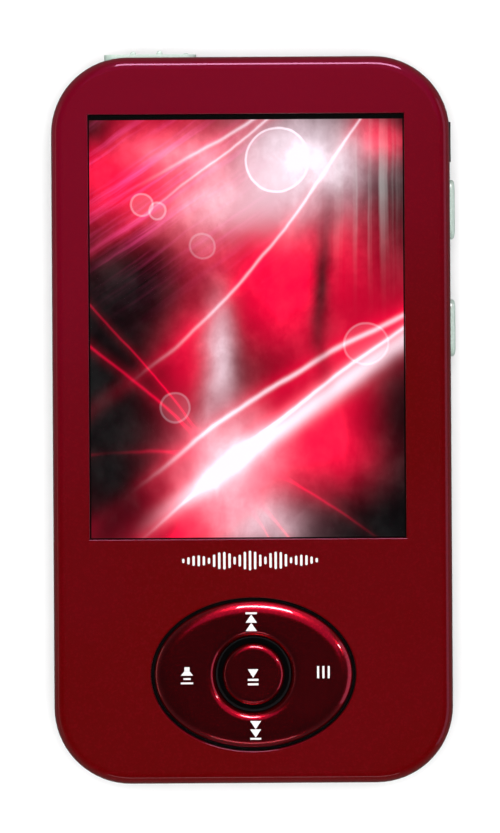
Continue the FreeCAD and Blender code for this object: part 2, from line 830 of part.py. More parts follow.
def small_capacitors():
    """A row of small capacitors on the board's top."""
    return Part.makeCompound([chip(18.2, -31.2 - 1.0 * i, 1.6, 0.6, 0.5, top=True) for i in range(5)])


def microphone():
    """Round microphone that faces the top end."""
    return rod(mic_radius, (mic_x, mic_y[0], mic_z), AXIS_Y, mic_y[1] - mic_y[0])


def mic_boot():
    """Rubber boot round the microphone with a sound hole."""
    start = (mic_x, mic_y[0], mic_z)
    boot = rod(mic_boot_radius, start, AXIS_Y, mic_boot_end_y - mic_y[0])
    boot = boot.cut(microphone())
    return boot.cut(rod(mic_hole_radius, start, AXIS_Y, mic_boot_end_y - mic_y[0]))


def reset_switch():
    """Body of the reset switch under the board."""
    return chip(reset_x, reset_y, 3.2, 2.6, board_low_z - reset_body_z)


def reset_plunger():
    """Plunger of the reset switch, over the pin hole in the rear cover."""
    return post(reset_plunger_radius, reset_x, reset_y, reset_plunger_z)


def player():
    """Every piece of the player by its node's name."""
    return {
        "front_cover": front_cover(),
        "rear_cover": rear_cover(),
        "strap_bar": strap_bar(),
        "case_screws": case_screws(),
        "display_window": display_window(),
        "window_adhesive": window_adhesive(),
        "display_gasket": display_gasket(),
        "display_frame": display_frame(),
        "light_guide": light_guide(),
        "display_panel": display_panel(),
        "display_driver": display_driver(),
        "display_flex": display_flex(),
        "display_connector": display_connector(),
        "nav_ring": nav_ring(),
        "nav_carrier": nav_carrier(),
        "keypad_mat": keypad_mat(),
        "button_boot": button_boot(),
        "play_button": play_button(),
        "dome_switches": dome_switches(),
        "power_key": side_key("power"),
        "power_plunger": switch_plunger("power"),
        "back_key": side_key("back"),
        "back_plunger": switch_plunger("back"),
        "side_switches": side_switches(),
        "switch_track": switch_track(),
        "switch_knob": switch_knob(),
        "slide_switch": slide_switch(),
        "slide_lever": slide_lever(),
        "main_board": main_board(),
        "board_screws": board_screws(),
        "headphone_jack": headphone_jack(),
        "jack_contacts": jack_contacts(),
        "usb_shell": usb_shell(),
        "usb_tongue": usb_tongue(),
        "card_base": card_base(),
        "card_cover": card_cover(),
        "battery_cell": battery_cell(),
        "battery_tape": battery_tape(),
        "battery_tabs": battery_tabs(),
        "positive_lead": positive_lead(),
        "negative_lead": negative_lead(),
        "processor_chip": chip(-1.4, -17.8, 10.0, 10.0, 1.0),
        "memory_chip": chip(12.2, -18.6, 16.0, 12.0, 0.9),
        "power_chip": chip(-17.8, -12.9, 5.0, 5.0, 0.9),
        "audio_chip": chip(16.6, -23.4, 4.0, 4.0, 0.8, top=True),
        "clock_crystal": chip(-8.6, -13.5, 2.5, 3.2, 0.8),
        "power_inductor": chip(-11.4, -28.6, 3.0, 3.0, 1.4),
        "output_capacitors": output_capacitors(),
        "small_capacitors": small_capacitors(),
        "microphone": microphone(),
        "mic_boot": mic_boot(),
        "reset_switch": reset_switch(),
        "reset_plunger": reset_plunger(),
    }


os.makedirs("parts", exist_ok=True)
for node, shape in player().items():
    shape.exportStep("parts/" + node + ".step")
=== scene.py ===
import functools
import math

import bmesh
import bpy
import numpy as np
from bpy.props import FloatProperty, FloatVectorProperty, IntProperty, PointerProperty
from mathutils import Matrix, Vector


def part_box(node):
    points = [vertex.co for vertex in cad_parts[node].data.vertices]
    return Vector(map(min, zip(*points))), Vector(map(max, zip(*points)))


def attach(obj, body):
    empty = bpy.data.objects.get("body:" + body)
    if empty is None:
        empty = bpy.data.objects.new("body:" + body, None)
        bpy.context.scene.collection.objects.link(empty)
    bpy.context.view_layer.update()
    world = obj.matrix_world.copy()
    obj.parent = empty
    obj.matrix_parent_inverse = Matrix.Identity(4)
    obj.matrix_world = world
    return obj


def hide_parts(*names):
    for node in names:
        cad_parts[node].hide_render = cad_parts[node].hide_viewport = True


bl_info = {
    "name": "Pocket Audio Player",
    "version": (1, 0, 0),
    "blender": (4, 5, 0),
    "location": "View3D > Sidebar > Player",
    "description": "Finishes a pocket audio player: rocker ring, button, keys, picture, marks and stage",
    "category": "Add Mesh",
}

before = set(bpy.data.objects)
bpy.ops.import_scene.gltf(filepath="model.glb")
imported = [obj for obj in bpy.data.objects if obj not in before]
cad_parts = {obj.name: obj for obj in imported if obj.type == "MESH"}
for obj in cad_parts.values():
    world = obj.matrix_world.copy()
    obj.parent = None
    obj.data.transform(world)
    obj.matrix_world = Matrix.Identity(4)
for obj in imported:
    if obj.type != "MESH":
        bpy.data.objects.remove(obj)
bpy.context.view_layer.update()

MM = 0.001
MERGE = 1e-7
SMOOTH_ANGLE = math.radians(35)
CASE_LOW, CASE_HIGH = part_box("rear_cover")
FACE_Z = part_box("front_cover")[1].z
RING_LOW, RING_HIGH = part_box("nav_ring")
BUTTON_LOW, BUTTON_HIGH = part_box("play_button")
NAV_Y = (BUTTON_LOW.y + BUTTON_HIGH.y) / 2
PANE_LOW, PANE_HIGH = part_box("display_window")
PANE_MIDDLE = (PANE_LOW + PANE_HIGH) / 2
LEVER_LOW, LEVER_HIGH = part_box("slide_lever")
PICTURE_ASPECT = 0.75


# ---------------------------------------------------------------- sizes and colours


def length(name, millimetres, description):
    """A length of the scene."""
    return FloatProperty(name=name, description=description, default=millimetres * MM, unit="LENGTH")


def tone(name, value, description):
    """A linear colour with four channels."""
    return FloatVectorProperty(
        name=name, description=description, size=4, min=0.0, max=1.0, default=(*value, 1.0), subtype="COLOR")


class PlayerSizes(bpy.types.PropertyGroup):
    """Sizes of the pieces that the finish makes."""

    ring_flange: length("Ring flange", 1.3, "How far the ring's flange reaches under the front cover")
    ring_rim: length("Ring rim", 2.2, "Radius of the rounding round the ring's outside")
    ring_rim_width: length("Rim width", 1.65, "How far that rounding reaches in from the ring's outside")
    ring_hole_rim: length("Hole rim", 1.2, "Radius of the rounding round the ring's hole")
    ring_hole_gap: length("Hole gap", 0.75, "Gap between the round button and the ring's hole")
    button_edge: length("Button edge", 0.8, "Radius of the rounding round the button's face")
    button_dish: length("Button dish", 0.04, "Depth of the shallow hollow in the button's face")
    key_edge: length("Key edge", 0.4, "Radius of the rounding round a side key's face")
    key_crown: length("Key crown", 0.06, "How far the middle of a side key's face bulges")
    key_flange: length("Key flange", 0.45, "How far a side key's flange reaches past its cap")
    rib_width: length("Rib width", 0.7, "Width of one finger rib of the sliding knob")
    rib_pitch: length("Rib pitch", 3.1, "Distance from one finger rib to the next")
    picture_half_x: length("Picture half width", 18.36, "Half width of the lit picture")
    picture_half_y: length("Picture half height", 24.48, "Half height of the lit picture")
    print_height: length("Print height", 0.012, "How far the printed marks stand proud")
    bar_pitch: length("Motif pitch", 0.6, "Distance between two bars of the motif")
    bar_height: length("Motif height", 2.3, "Height of the motif's tallest bar")
    bar_count: IntProperty(name="Motif bars", description="How many bars the motif has", default=27, min=3)


class PlayerColours(bpy.types.PropertyGroup):
    """Linear colours of the finishes."""

    case_red: tone("Case red", (0.084, 0.0001, 0.0004), "Paint of the front cover's middle")
    # The wine tone is painted light: a soft bluish light falling from the upper left, painted into the front
    # paint.
    case_painted_light_wine: tone("Case wine", (0.124, 0.0006, 0.009), "Paint towards the front cover's top")
    rear_red: tone("Rear red", (0.045, 0.0004, 0.0012), "Moulded rear cover")
    ring_maroon: tone("Ring maroon", (0.41, 0.005, 0.017), "Rocker ring and round button")
    print_white: tone("Print white", (0.72, 0.72, 0.72), "Marks and motif")
    silver: tone("Silver", (0.55, 0.69, 0.61), "Side keys, knob and track")
    dark_metal: tone("Dark metal", (0.045, 0.045, 0.05), "Strap bar and screws")


def sizes():
    """The sizes in use."""
    return bpy.context.scene.player_sizes


def colours():
    """The colours in use."""
    return bpy.context.scene.player_colours


# ---------------------------------------------------------------- surfaces


def skin(rings):
    """Points and quads of a surface through rings of points.

    rings[row, column] is a point. Column j of a row joins column j + 1 of it, the last column joins
    the first, and each row joins the next, so the quads are those between neighbouring indices.
    """
    rows, columns = rings.shape[:2]
    here = np.arange(rows * columns).reshape(rows, columns)
    right = np.roll(here, -1, axis=1)
    quads = np.stack([here[:-1], right[:-1], right[1:], here[1:]], axis=-1)
    return rings.reshape(-1, 3), quads.reshape(-1, 4)


def closed_ends(rings):
    """The rings with a first and last row added at their ends' middles, so that the ends close."""
    first = np.broadcast_to(rings[:1].mean(axis=1, keepdims=True), rings[:1].shape)
    last = np.broadcast_to(rings[-1:].mean(axis=1, keepdims=True), rings[-1:].shape)
    return np.concatenate([first, rings, last])


def prism(outline, low_z, high_z):
    """A closed upright prism: a flat outline at two heights."""
    levels = [np.column_stack([outline, np.full(len(outline), z)]) for z in (low_z, high_z)]
    return skin(closed_ends(np.stack(levels)))


def block(low, high):
    """A box between two corners."""
    outline = np.array([(low[0], low[1]), (high[0], low[1]), (high[0], high[1]), (low[0], high[1])])
    return prism(outline, low[2], high[2])


def make_mesh(name, parts):
    """One mesh from several (points, quads) parts: doubles merged, normals outward, smooth but for edges."""
    starts = np.cumsum([0] + [len(points) for points, _ in parts[:-1]])
    points = np.concatenate([points for points, _ in parts])
    quads = np.concatenate([quads + start for start, (_, quads) in zip(starts, parts)])
    mesh = bpy.data.meshes.new(name)
    mesh.from_pydata(points.tolist(), [], quads.tolist())
    work = bmesh.new()
    work.from_mesh(mesh)
    bmesh.ops.remove_doubles(work, verts=work.verts, dist=MERGE)
    bmesh.ops.dissolve_degenerate(work, edges=work.edges, dist=MERGE)
    bmesh.ops.recalc_face_normals(work, faces=work.faces)
    work.to_mesh(mesh)
    work.free()
    mesh.shade_smooth()
    mesh.set_sharp_from_angle(angle=SMOOTH_ANGLE)
    return mesh


def add_piece(name, mesh, material, body, slot_name, *replaced):
    """An object of that mesh and material which rides on a body and stands for CAD nodes."""
    piece = bpy.data.objects.new(name, mesh)
    bpy.context.scene.collection.objects.link(piece)
    mesh.materials.clear()
    mesh.materials.append(material)
    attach(piece, body)
    if replaced:
        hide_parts(*replaced)
    return piece


def rounding(radius, steps, width=None):
    """A rounded edge's arc as (inset, drop) pairs, from the wall to the face.

    With the slope t from its steepest, where sin t = width / radius, to level:
    inset = width - radius sin t, drop = radius (1 - cos t). A quarter turn has the radius as width.
    """
    width = width or radius
    slope = np.linspace(math.asin(min(width / radius, 1)), 0, steps)
    return np.column_stack([width - radius * np.sin(slope), radius * (1 - np.cos(slope))])


def oval_rings(stations, columns):
    """Rings about the middle of the rocker: a station (a, b, z) gives a cos u, middle + b sin u, z."""
    stations = np.asarray(stations, float)
    around = np.linspace(0, 2 * math.pi, columns, endpoint=False)
    x = stations[:, :1] * np.cos(around)
    y = NAV_Y + stations[:, 1:2] * np.sin(around)
    return np.stack([x, y, np.broadcast_to(stations[:, 2:], x.shape)], axis=-1)


def rounded_outline(half_a, half_b, radius, corner_steps):
    """Rounded rectangles' points: four quarter circles about (+-(half_a - r), +-(half_b - r)).

    The half sizes and the radius may be arrays, which gives one outline for each of their items.
    """
    angle = (np.arange(4)[:, None] * math.pi / 2 + np.linspace(0, math.pi / 2, corner_steps)).ravel()
    sign_a = np.repeat([1, -1, -1, 1], corner_steps)
    sign_b = np.repeat([1, 1, -1, -1], corner_steps)
    half_a, half_b, radius = (np.asarray(value, float)[..., None] for value in (half_a, half_b, radius))
    a = sign_a * (half_a - radius) + radius * np.cos(angle)
    b = sign_b * (half_b - radius) + radius * np.sin(angle)
    return np.stack(np.broadcast_arrays(a, b), axis=-1)


def along_x(x, middle_y, middle_z, outlines):
    """Rings that stand across X: outline i, given in Y and Z about a middle line, at x[i]."""
    places = np.broadcast_to(np.asarray(x)[:, None], outlines.shape[:2])
    return np.stack([places, middle_y + outlines[..., 0], middle_z + outlines[..., 1]], axis=-1)


# ---------------------------------------------------------------- shader helpers


class Graph:
    """Adds nodes to a shader tree in short lines."""

    def __init__(self, tree):
        self.tree = tree

    def add(self, kind, inputs=None, **settings):
        """A node of that kind with its settings and inputs: a socket is linked, a value is set."""
        node = self.tree.nodes.new(kind)
        for key, value in settings.items():
            setattr(node, key, value)
        for key, value in (inputs or {}).items():
            if isinstance(value, bpy.types.NodeSocket):
                self.link(value, node.inputs[key])
            else:
                node.inputs[key].default_value = value
        return node

    def link(self, output, socket):
        """An output drives an input socket."""
        self.tree.links.new(output, socket)

    def math(self, operation, first, second=0.0, third=0.0, clamp=False):
        """One arithmetic step."""
        node = self.add("ShaderNodeMath", {0: first, 1: second, 2: third}, operation=operation)
        node.use_clamp = clamp
        return node.outputs[0]

    def plus(self, *values):
        """The sum of the values."""
        return functools.reduce(lambda total, value: self.math("ADD", total, value), values)

    def minus(self, first, second):
        """The first value less the second."""
        return self.math("SUBTRACT", first, second)

    def times(self, *values):
        """The product of the values."""
        return functools.reduce(lambda product, value: self.math("MULTIPLY", product, value), values)

    def vector(self, operation, *inputs):
        """One step with vectors: its vector output, or its value for a length or a dot product."""
        made = self.add("ShaderNodeVectorMath", dict(enumerate(inputs)), operation=operation).outputs
        return made["Value" if operation in ("LENGTH", "DOT_PRODUCT") else "Vector"]

    def split(self, vector):
        """The three parts of a vector."""
        return self.add("ShaderNodeSeparateXYZ", {0: vector}).outputs

    def mapping(self, vector, kind="POINT", **inputs):
        """A vector turned and scaled."""
        inputs = {"Vector": vector, **inputs}
        return self.add("ShaderNodeMapping", inputs, vector_type=kind).outputs[0]

    def mix(self, factor, first, second, blend="MIX"):
        """Two colours mixed by a factor."""
        inputs = {0: factor, 6: first, 7: second}
        return self.add("ShaderNodeMix", inputs, data_type="RGBA", blend_type=blend).outputs[2]

    def noise(self, vector, scale, detail=2.0, rough=0.5):
        """Smooth noise from 0 to 1."""
        inputs = {"Vector": vector, "Scale": scale, "Detail": detail, "Roughness": rough}
        return self.add("ShaderNodeTexNoise", inputs).outputs["Fac"]

    def cells(self, vector, scale):
        """Irregular cells: their distances and colours."""
        return self.add("ShaderNodeTexVoronoi", {"Vector": vector, "Scale": scale}).outputs

    def remap(self, value, low, high, to_low=0.0, to_high=1.0):
        """A value's range moved to another, with smooth ends."""
        inputs = {"Value": value, "From Min": low, "From Max": high, "To Min": to_low, "To Max": to_high}
        return self.add("ShaderNodeMapRange", inputs, interpolation_type="SMOOTHSTEP").outputs[0]

    def grey(self, level):
        """A grey of that level."""
        return self.add("ShaderNodeCombineColor", {0: level, 1: level, 2: level}).outputs[0]

    def object_coords(self):
        """The piece's own coordinates, in metres."""
        return self.add("ShaderNodeTexCoord").outputs["Object"]

    def group(self, name, vector, **inputs):
        """One of the shared groups at a vector, with its inputs."""
        given = {"Vector": vector, **{key.replace("_", " "): value for key, value in inputs.items()}}
        return self.add("ShaderNodeGroup", given, node_tree=bpy.data.node_groups[name]).outputs


def new_group(name, inputs, outputs):
    """An empty shader group that takes a vector and the given inputs, with its graph, inputs and outputs.

    A number makes a float input, three a vector and four a colour; "Colour" is the one colour output.
    """
    tree = bpy.data.node_groups.new(name, "ShaderNodeTree")
    tree.interface.new_socket("Vector", in_out="INPUT", socket_type="NodeSocketVector")
    for socket_name, value in inputs.items():
        kind = {3: "NodeSocketVector", 4: "NodeSocketColor"}.get(np.size(value), "NodeSocketFloat")
        socket = tree.interface.new_socket(socket_name, in_out="INPUT", socket_type=kind)
        socket.default_value = value
    for socket_name in outputs:
        kind = "NodeSocketColor" if socket_name == "Colour" else "NodeSocketFloat"
        tree.interface.new_socket(socket_name, in_out="OUTPUT", socket_type=kind)
    graph = Graph(tree)
    return graph, graph.add("NodeGroupInput").outputs, graph.add("NodeGroupOutput").inputs


def build_grain_group():
    """Moulding grain: fine noise for height, with a slow noise that varies the gloss."""
    inputs = {"Scale": 9000.0, "Gloss Variation": 0.05, "Roughness": 0.4}
    graph, given, out = new_group("Moulding Grain", inputs, ("Height", "Roughness"))
    fine = graph.noise(given["Vector"], given["Scale"], 3.0, 0.6)
    slow = graph.noise(given["Vector"], 160.0, 3.0, 0.55)
    swing = graph.times(graph.minus(slow, 0.5), given["Gloss Variation"])
    graph.link(fine, out["Height"])
    graph.link(graph.math("ADD", given["Roughness"], swing, clamp=True), out["Roughness"])


def build_dust_group():
    """Dust and handling: sparse specks that lighten the colour and dull the gloss, and soft smears."""
    inputs = {"Colour": (0.5, 0.5, 0.5, 1.0), "Amount": 0.5}
    graph, given, out = new_group("Handling Dust", inputs, ("Colour", "Dullness"))
    cells = graph.cells(given["Vector"], 1500.0)["Distance"]
    speck = graph.remap(cells, 0.10, 0.04)
    patch = graph.remap(graph.noise(given["Vector"], 260.0, 4.0, 0.6), 0.52, 0.74)
    dust = graph.times(speck, patch, given["Amount"])
    smear = graph.remap(graph.noise(given["Vector"], 55.0, 3.0, 0.5), 0.42, 0.72)
    pale = (0.33, 0.30, 0.29, 1.0)
    graph.link(graph.mix(graph.times(dust, 0.04), given["Colour"], pale), out["Colour"])
    dull = graph.times(smear, given["Amount"], 0.07)
    graph.link(graph.math("MULTIPLY_ADD", dust, 0.22, dull), out["Dullness"])


def build_scratch_group():
    """Hairline scratches: two stretched noises at different slants, cut to thin lines."""
    graph, given, out = new_group("Hairlines", {"Amount": 0.3}, ("Lines",))
    lines = 0.0
    for slant, length_scale in ((0.5, 60.0), (-0.9, 45.0)):
        scale = (1 / length_scale, 1 / 5200, 1 / length_scale)
        turned = graph.mapping(given["Vector"], "TEXTURE", Rotation=(0, 0, slant), Scale=scale)
        line = graph.remap(graph.noise(turned, 1.0, 1.0, 0.4), 0.73, 0.80)
        lines = graph.math("MAXIMUM", lines, line)
    graph.link(graph.times(lines, given["Amount"]), out["Lines"])


def build_brushed_group():
    """Brushed metal: noise stretched along X, for height and for streaks in the gloss and tone."""
    inputs = {"Colour": (0.6, 0.6, 0.6, 1.0), "Roughness": 0.3}
    graph, given, out = new_group("Brushed Metal", inputs, ("Colour", "Roughness", "Height"))
    streak = graph.noise(graph.mapping(given["Vector"], Scale=(400, 9000, 9000)), 1.0, 4.0, 0.65)
    dark = graph.mix(0.45, given["Colour"], (0.0, 0.0, 0.0, 1.0))
    graph.link(graph.mix(graph.remap(streak, 0.35, 0.75), dark, given["Colour"]), out["Colour"])
    graph.link(graph.plus(given["Roughness"], graph.times(streak, 0.2)), out["Roughness"])
    graph.link(streak, out["Height"])


def build_rim_group():
    """Nearness to a rounded rectangle's border, from 0 inside to 1 at the border.

    q = |p| - (half - r); distance = |max(q, 0)| + min(max(qx, qy), 0) - r, mapped over a width.
    """
    inputs = {"Inner Half": (0.0144, 0.0336, 1.0), "Radius": 0.00895, "Width": 0.003}
    graph, given, out = new_group("Rim Mask", inputs, ("Mask",))
    flat = graph.vector("MULTIPLY", given["Vector"], (1, 1, 0))
    beyond = graph.vector("SUBTRACT", graph.vector("ABSOLUTE", flat), given["Inner Half"])
    outside = graph.vector("LENGTH", graph.vector("MAXIMUM", beyond, (0, 0, 0)))
    parts = graph.split(beyond)
    inside = graph.math("MINIMUM", graph.math("MAXIMUM", parts[0], parts[1]), 0.0)
    distance = graph.minus(graph.plus(outside, inside), given["Radius"])
    start = graph.times(given["Width"], -1.0)
    graph.link(graph.remap(distance, start, 0.0), out["Mask"])


def build_painted_shade_group():
    """Painted shade: near black below a height and away from the rim (rim mask near 0), which darkens gaps,
    hole walls and hidden faces.
    """
    inputs = {"Colour": (0.1, 0.0, 0.0, 1.0), "Bare": (0.004, 0.003, 0.003, 1.0), "Height": 0.0099,
              "Fade": 0.0003, "Rim": 0.0}
    graph, given, out = new_group("Bare Inside", inputs, ("Colour", "Mask"))
    height = graph.minus(given["Height"], graph.split(given["Vector"])[2])
    deep = graph.math("DIVIDE", height, given["Fade"], clamp=True)
    mask = graph.times(deep, graph.math("LESS_THAN", given["Rim"], 0.02))
    graph.link(mask, out["Mask"])
    graph.link(graph.mix(mask, given["Colour"], given["Bare"]), out["Colour"])


def build_flake_group():
    """Fine metallic flake in a paint: each tiny cell is a little lighter or darker."""
    inputs = {"Colour": (0.1, 0.0, 0.0, 1.0), "Bright": (0.2, 0.0, 0.0, 1.0), "Amount": 0.5}
    graph, given, out = new_group("Paint Flake", inputs, ("Colour",))
    cell = graph.cells(given["Vector"], 5200.0)["Color"]
    level = graph.add("ShaderNodeSeparateColor", {0: cell}).outputs[0]
    glint = graph.times(graph.remap(level, 0.55, 1.0), given["Amount"])
    graph.link(graph.mix(glint, given["Colour"], given["Bright"]), out["Colour"])


def build_glow_group():
    """A soft round glow at (u, v): weight exp(-((u - u0)^2 / a^2 + (v - v0)^2 / b^2))."""
    inputs = {"Centre": (0.5, 0.5, 0.0), "Reach": (0.2, 0.2, 1.0), "Weight": 1.0}
    graph, given, out = new_group("Soft Glow", inputs, ("Light",))
    away = graph.vector("SUBTRACT", given["Vector"], given["Centre"])
    scaled = graph.vector("DIVIDE", away, given["Reach"])
    square = graph.vector("DOT_PRODUCT", scaled, scaled)
    glow = graph.math("EXPONENT", graph.times(square, -1.0))
    graph.link(graph.times(glow, given["Weight"]), out["Light"])


def build_beam_group():
    """A beam of light along v = start + slope u + bow sin(pi u): thin core and wide halo across it."""
    inputs = {"Start": 0.2, "Slope": 0.5, "Bow": 0.1, "Width": 0.01, "Weight": 1.0}
    graph, given, out = new_group("Light Beam", inputs, ("Core", "Halo"))
    u, v = graph.split(given["Vector"])[:2]
    bow = graph.times(graph.math("SINE", graph.times(u, math.pi)), given["Bow"])
    line = graph.plus(graph.times(u, given["Slope"]), given["Start"], bow)
    across = graph.math("DIVIDE", graph.minus(v, line), given["Width"])
    square = graph.times(across, across)
    for name, fall in (("Core", -1.0), ("Halo", -0.05)):
        light = graph.math("EXPONENT", graph.times(square, fall))
        graph.link(graph.times(light, given["Weight"]), out[name])


def build_circle_group():
    """A circle of light as an unsharp lens shows it: a bright border and a faint filled disc."""
    inputs = {"Centre": (0.5, 0.5, 0.0), "Radius": 0.05, "Weight": 1.0}
    graph, given, out = new_group("Light Circle", inputs, ("Light",))
    away = graph.vector("SUBTRACT", given["Vector"], given["Centre"])
    upright = graph.vector("MULTIPLY", away, (PICTURE_ASPECT, 1.0, 0.0))
    beyond = graph.minus(graph.vector("LENGTH", upright), given["Radius"])
    border = graph.remap(graph.math("ABSOLUTE", beyond), 0.004, 0.001)
    disc = graph.times(graph.remap(beyond, 0.003, -0.003), 0.22)
    light = graph.math("MULTIPLY_ADD", border, 0.6, disc)
    graph.link(graph.times(light, given["Weight"]), out["Light"])


def build_groups():
    """All shared shader groups, once."""
    for build in (build_grain_group, build_dust_group, build_scratch_group, build_brushed_group,
                  build_rim_group, build_painted_shade_group, build_flake_group, build_glow_group, build_beam_group,
                  build_circle_group):
        build()


def new_material(name, **uniform):
    """A material with a Principled BSDF whose uniform sockets are set, its graph and that shader."""
    material = bpy.data.materials.new(name)
    material.use_nodes = True
    graph = Graph(material.node_tree)
    shader = material.node_tree.nodes["Principled BSDF"]
    for key, value in uniform.items():
        shader.inputs[key.replace("_", " ")].default_value = value
    return material, graph, shader.inputs


def connect(graph, shader, height=None, distance=0.0, strength=0.5, **sockets):
    """Outputs drive the shader's sockets of those names, and a height drives its normal."""
    for key, output in sockets.items():
        graph.link(output, shader[key.replace("_", " ")])
    if height is not None:
        bump = graph.add("ShaderNodeBump", {"Height": height, "Distance": distance, "Strength": strength})
        graph.link(bump.outputs[0], shader["Normal"])


# ---------------------------------------------------------------- finishes


def worn(graph, place, colour, dust, grain, roughness, bright=None, flake=0.0, variation=0.05):
    """A handled surface's colour, roughness and height: flake in the colour, dust on it, grain under it."""
    if bright:
        flaked = graph.group("Paint Flake", place, Colour=colour, Bright=(*bright, 1.0), Amount=flake)
        colour = flaked["Colour"]
    dusty = graph.group("Handling Dust", place, Colour=colour, Amount=dust)
    grain = graph.group("Moulding Grain", place, Scale=grain, Gloss_Variation=variation, Roughness=roughness)
    gloss = graph.math("ADD", grain["Roughness"], dusty["Dullness"], clamp=True)
    return dusty["Colour"], gloss, grain["Height"]


def drifting(graph, place, colour, share, scale, detail=4.0, rough=0.6):
    """A colour that drifts slowly to a darker share of itself."""
    darker = (*(share * channel for channel in colour[:3]), 1.0)
    return graph.mix(graph.remap(graph.noise(place, scale, detail, rough), 0.3, 0.7), darker, tuple(colour))


def front_paint():
    """Glossy dark red paint: painted light turns it wine towards the upper left; fine flake, dust in the
    gloss, painted shade below the face.
    """
    tones = colours()
    material, graph, shader = new_material("front paint", Coat_Roughness=0.04, Specular_IOR_Level=0.04)
    place = graph.object_coords()
    x, y = graph.split(place)[:2]
    # Painted light: the paint turns wine towards the upper left, where a soft light falls.
    slant = graph.math("MULTIPLY_ADD", x, -0.6, y)
    painted_light_share = graph.remap(slant, -0.4 * CASE_HIGH.y, 1.1 * CASE_HIGH.y)
    cloud = graph.remap(graph.noise(place, 38.0, 2.0, 0.5), 0.2, 0.8, -0.12, 0.12)
    share = graph.math("ADD", painted_light_share, cloud, clamp=True)
    paint = graph.mix(share, tuple(tones.case_red), tuple(tones.case_painted_light_wine))
    colour, gloss, height = worn(graph, place, paint, 0.25, 900.0, 0.3, (0.17, 0.001, 0.007), 0.22)
    rim = graph.group("Rim Mask", place, Width=2.2 * MM)["Mask"]
    # Painted shade: faces below the front face and away from the rim turn near black, darkening the gaps and
    # openings.
    painted_shade = graph.group("Bare Inside", place, Colour=colour, Height=FACE_Z - 0.1 * MM, Rim=rim)
    connect(graph, shader, height, 0.002 * MM, 0.35, Base_Color=painted_shade["Colour"], Roughness=gloss,
            Coat_Weight=graph.remap(painted_shade["Mask"], 0.0, 1.0, 0.8, 0.0))
    return material


def candy_paint():
    """Deep red lacquer over metal: dark where it mirrors the ceiling, bright where it mirrors a light."""
    material, graph, shader = new_material("candy paint", Coat_Roughness=0.03)
    place = graph.object_coords()
    drift = drifting(graph, place, colours().ring_maroon, 0.8, 120.0, 3.0, 0.55)
    colour, gloss, height = worn(graph, place, drift, 0.2, 700.0, 0.24, (0.75, 0.02, 0.04), 0.3)
    # Painted shade: faces more than 1.2 mm below the ring's top turn near black, darkening the gaps round the
    # ring and the button.
    painted_shade = graph.group("Bare Inside", place, Colour=colour, Height=RING_HIGH.z - 1.2 * MM)
    connect(graph, shader, height, 0.001 * MM, Base_Color=painted_shade["Colour"], Roughness=gloss,
            Metallic=graph.remap(painted_shade["Mask"], 0.0, 1.0, 0.98, 0.0),
            Coat_Weight=graph.remap(painted_shade["Mask"], 0.0, 1.0, 1.0, 0.0))
    return material


def moulded(name, colour, roughness, grain_scale, grain_depth, coat=0.0):
    """Moulded plastic or rubber: fine grain in the normal, slow change of gloss, tone drift and dust."""
    material, graph, shader = new_material(name, Coat_Weight=coat, Coat_Roughness=0.08)
    place = graph.object_coords()
    drift = drifting(graph, place, colour, 0.78, 90.0)
    made, gloss, height = worn(graph, place, drift, 0.4, grain_scale, roughness, variation=0.10)
    connect(graph, shader, height, grain_depth, Base_Color=made, Roughness=gloss)
    return material


def silver_paint():
    """Satin silver paint: fine pearl in the tone, faint grain, slightly worn gloss."""
    material, graph, shader = new_material("silver paint", Metallic=0.2, Coat_Weight=0.2)
    place = graph.object_coords()
    silver = tuple(colours().silver)
    colour, gloss, height = worn(graph, place, silver, 0.3, 4200.0, 0.34, (0.72, 0.85, 0.78), 0.4)
    connect(graph, shader, height, 0.002 * MM, Base_Color=colour, Roughness=gloss)
    return material


def brushed(name, colour, roughness):
    """Bare metal with fine streaks along X."""
    material, graph, shader = new_material(name, Metallic=1.0)
    made = graph.group("Brushed Metal", graph.object_coords(), Colour=tuple(colour), Roughness=roughness)
    connect(graph, shader, made["Height"], 0.002 * MM, Base_Color=made["Colour"], Roughness=made["Roughness"])
    return material


def pane_clear():
    """Clear acrylic pane: a trace of haze and hairlines in the gloss."""
    material, graph, shader = new_material("clear pane", Transmission_Weight=1.0, IOR=1.45)
    place = graph.object_coords()
    lines = graph.group("Hairlines", place, Amount=0.04)["Lines"]
    tint = graph.mix(graph.remap(graph.noise(place, 60.0), 0.3, 0.7), (0.985, 0.985, 0.99, 1), (1, 1, 1, 1))
    connect(graph, shader, Base_Color=tint, Roughness=graph.plus(lines, 0.008))
    return material


def printed_ink():
    """White printed ink with slightly uneven cover."""
    material, graph, shader = new_material("printed ink")
    place = graph.object_coords()
    thin = graph.remap(graph.noise(place, 5200.0, 3.0, 0.6), 0.25, 0.5)
    ink = graph.mix(thin, (0.5, 0.46, 0.46, 1.0), tuple(colours().print_white))
    gloss = graph.remap(graph.noise(place, 900.0), 0.2, 0.8, 0.38, 0.55)
    connect(graph, shader, Base_Color=ink, Roughness=gloss)
    return material


def board_finish():
    """Circuit board: green mask over a lattice of tracks, with tinned pads."""
    material, graph, shader = new_material("circuit board", Coat_Weight=0.4, Coat_Roughness=0.15)
    place = graph.object_coords()
    wave = {"Vector": place, "Scale": 190.0, "Distortion": 3.0, "Detail": 1.0}
    track = graph.remap(graph.add("ShaderNodeTexWave", wave).outputs["Fac"], 0.62, 0.7)
    pad = graph.remap(graph.cells(place, 520.0)["Distance"], 0.16, 0.13)
    green = graph.mix(track, (0.004, 0.055, 0.02, 1), (0.012, 0.15, 0.06, 1))
    connect(graph, shader, track, 0.02 * MM, Base_Color=graph.mix(pad, green, (0.62, 0.6, 0.5, 1)),
            Metallic=graph.times(pad, 0.9), Roughness=graph.remap(track, 0.0, 1.0, 0.32, 0.22))
    return material


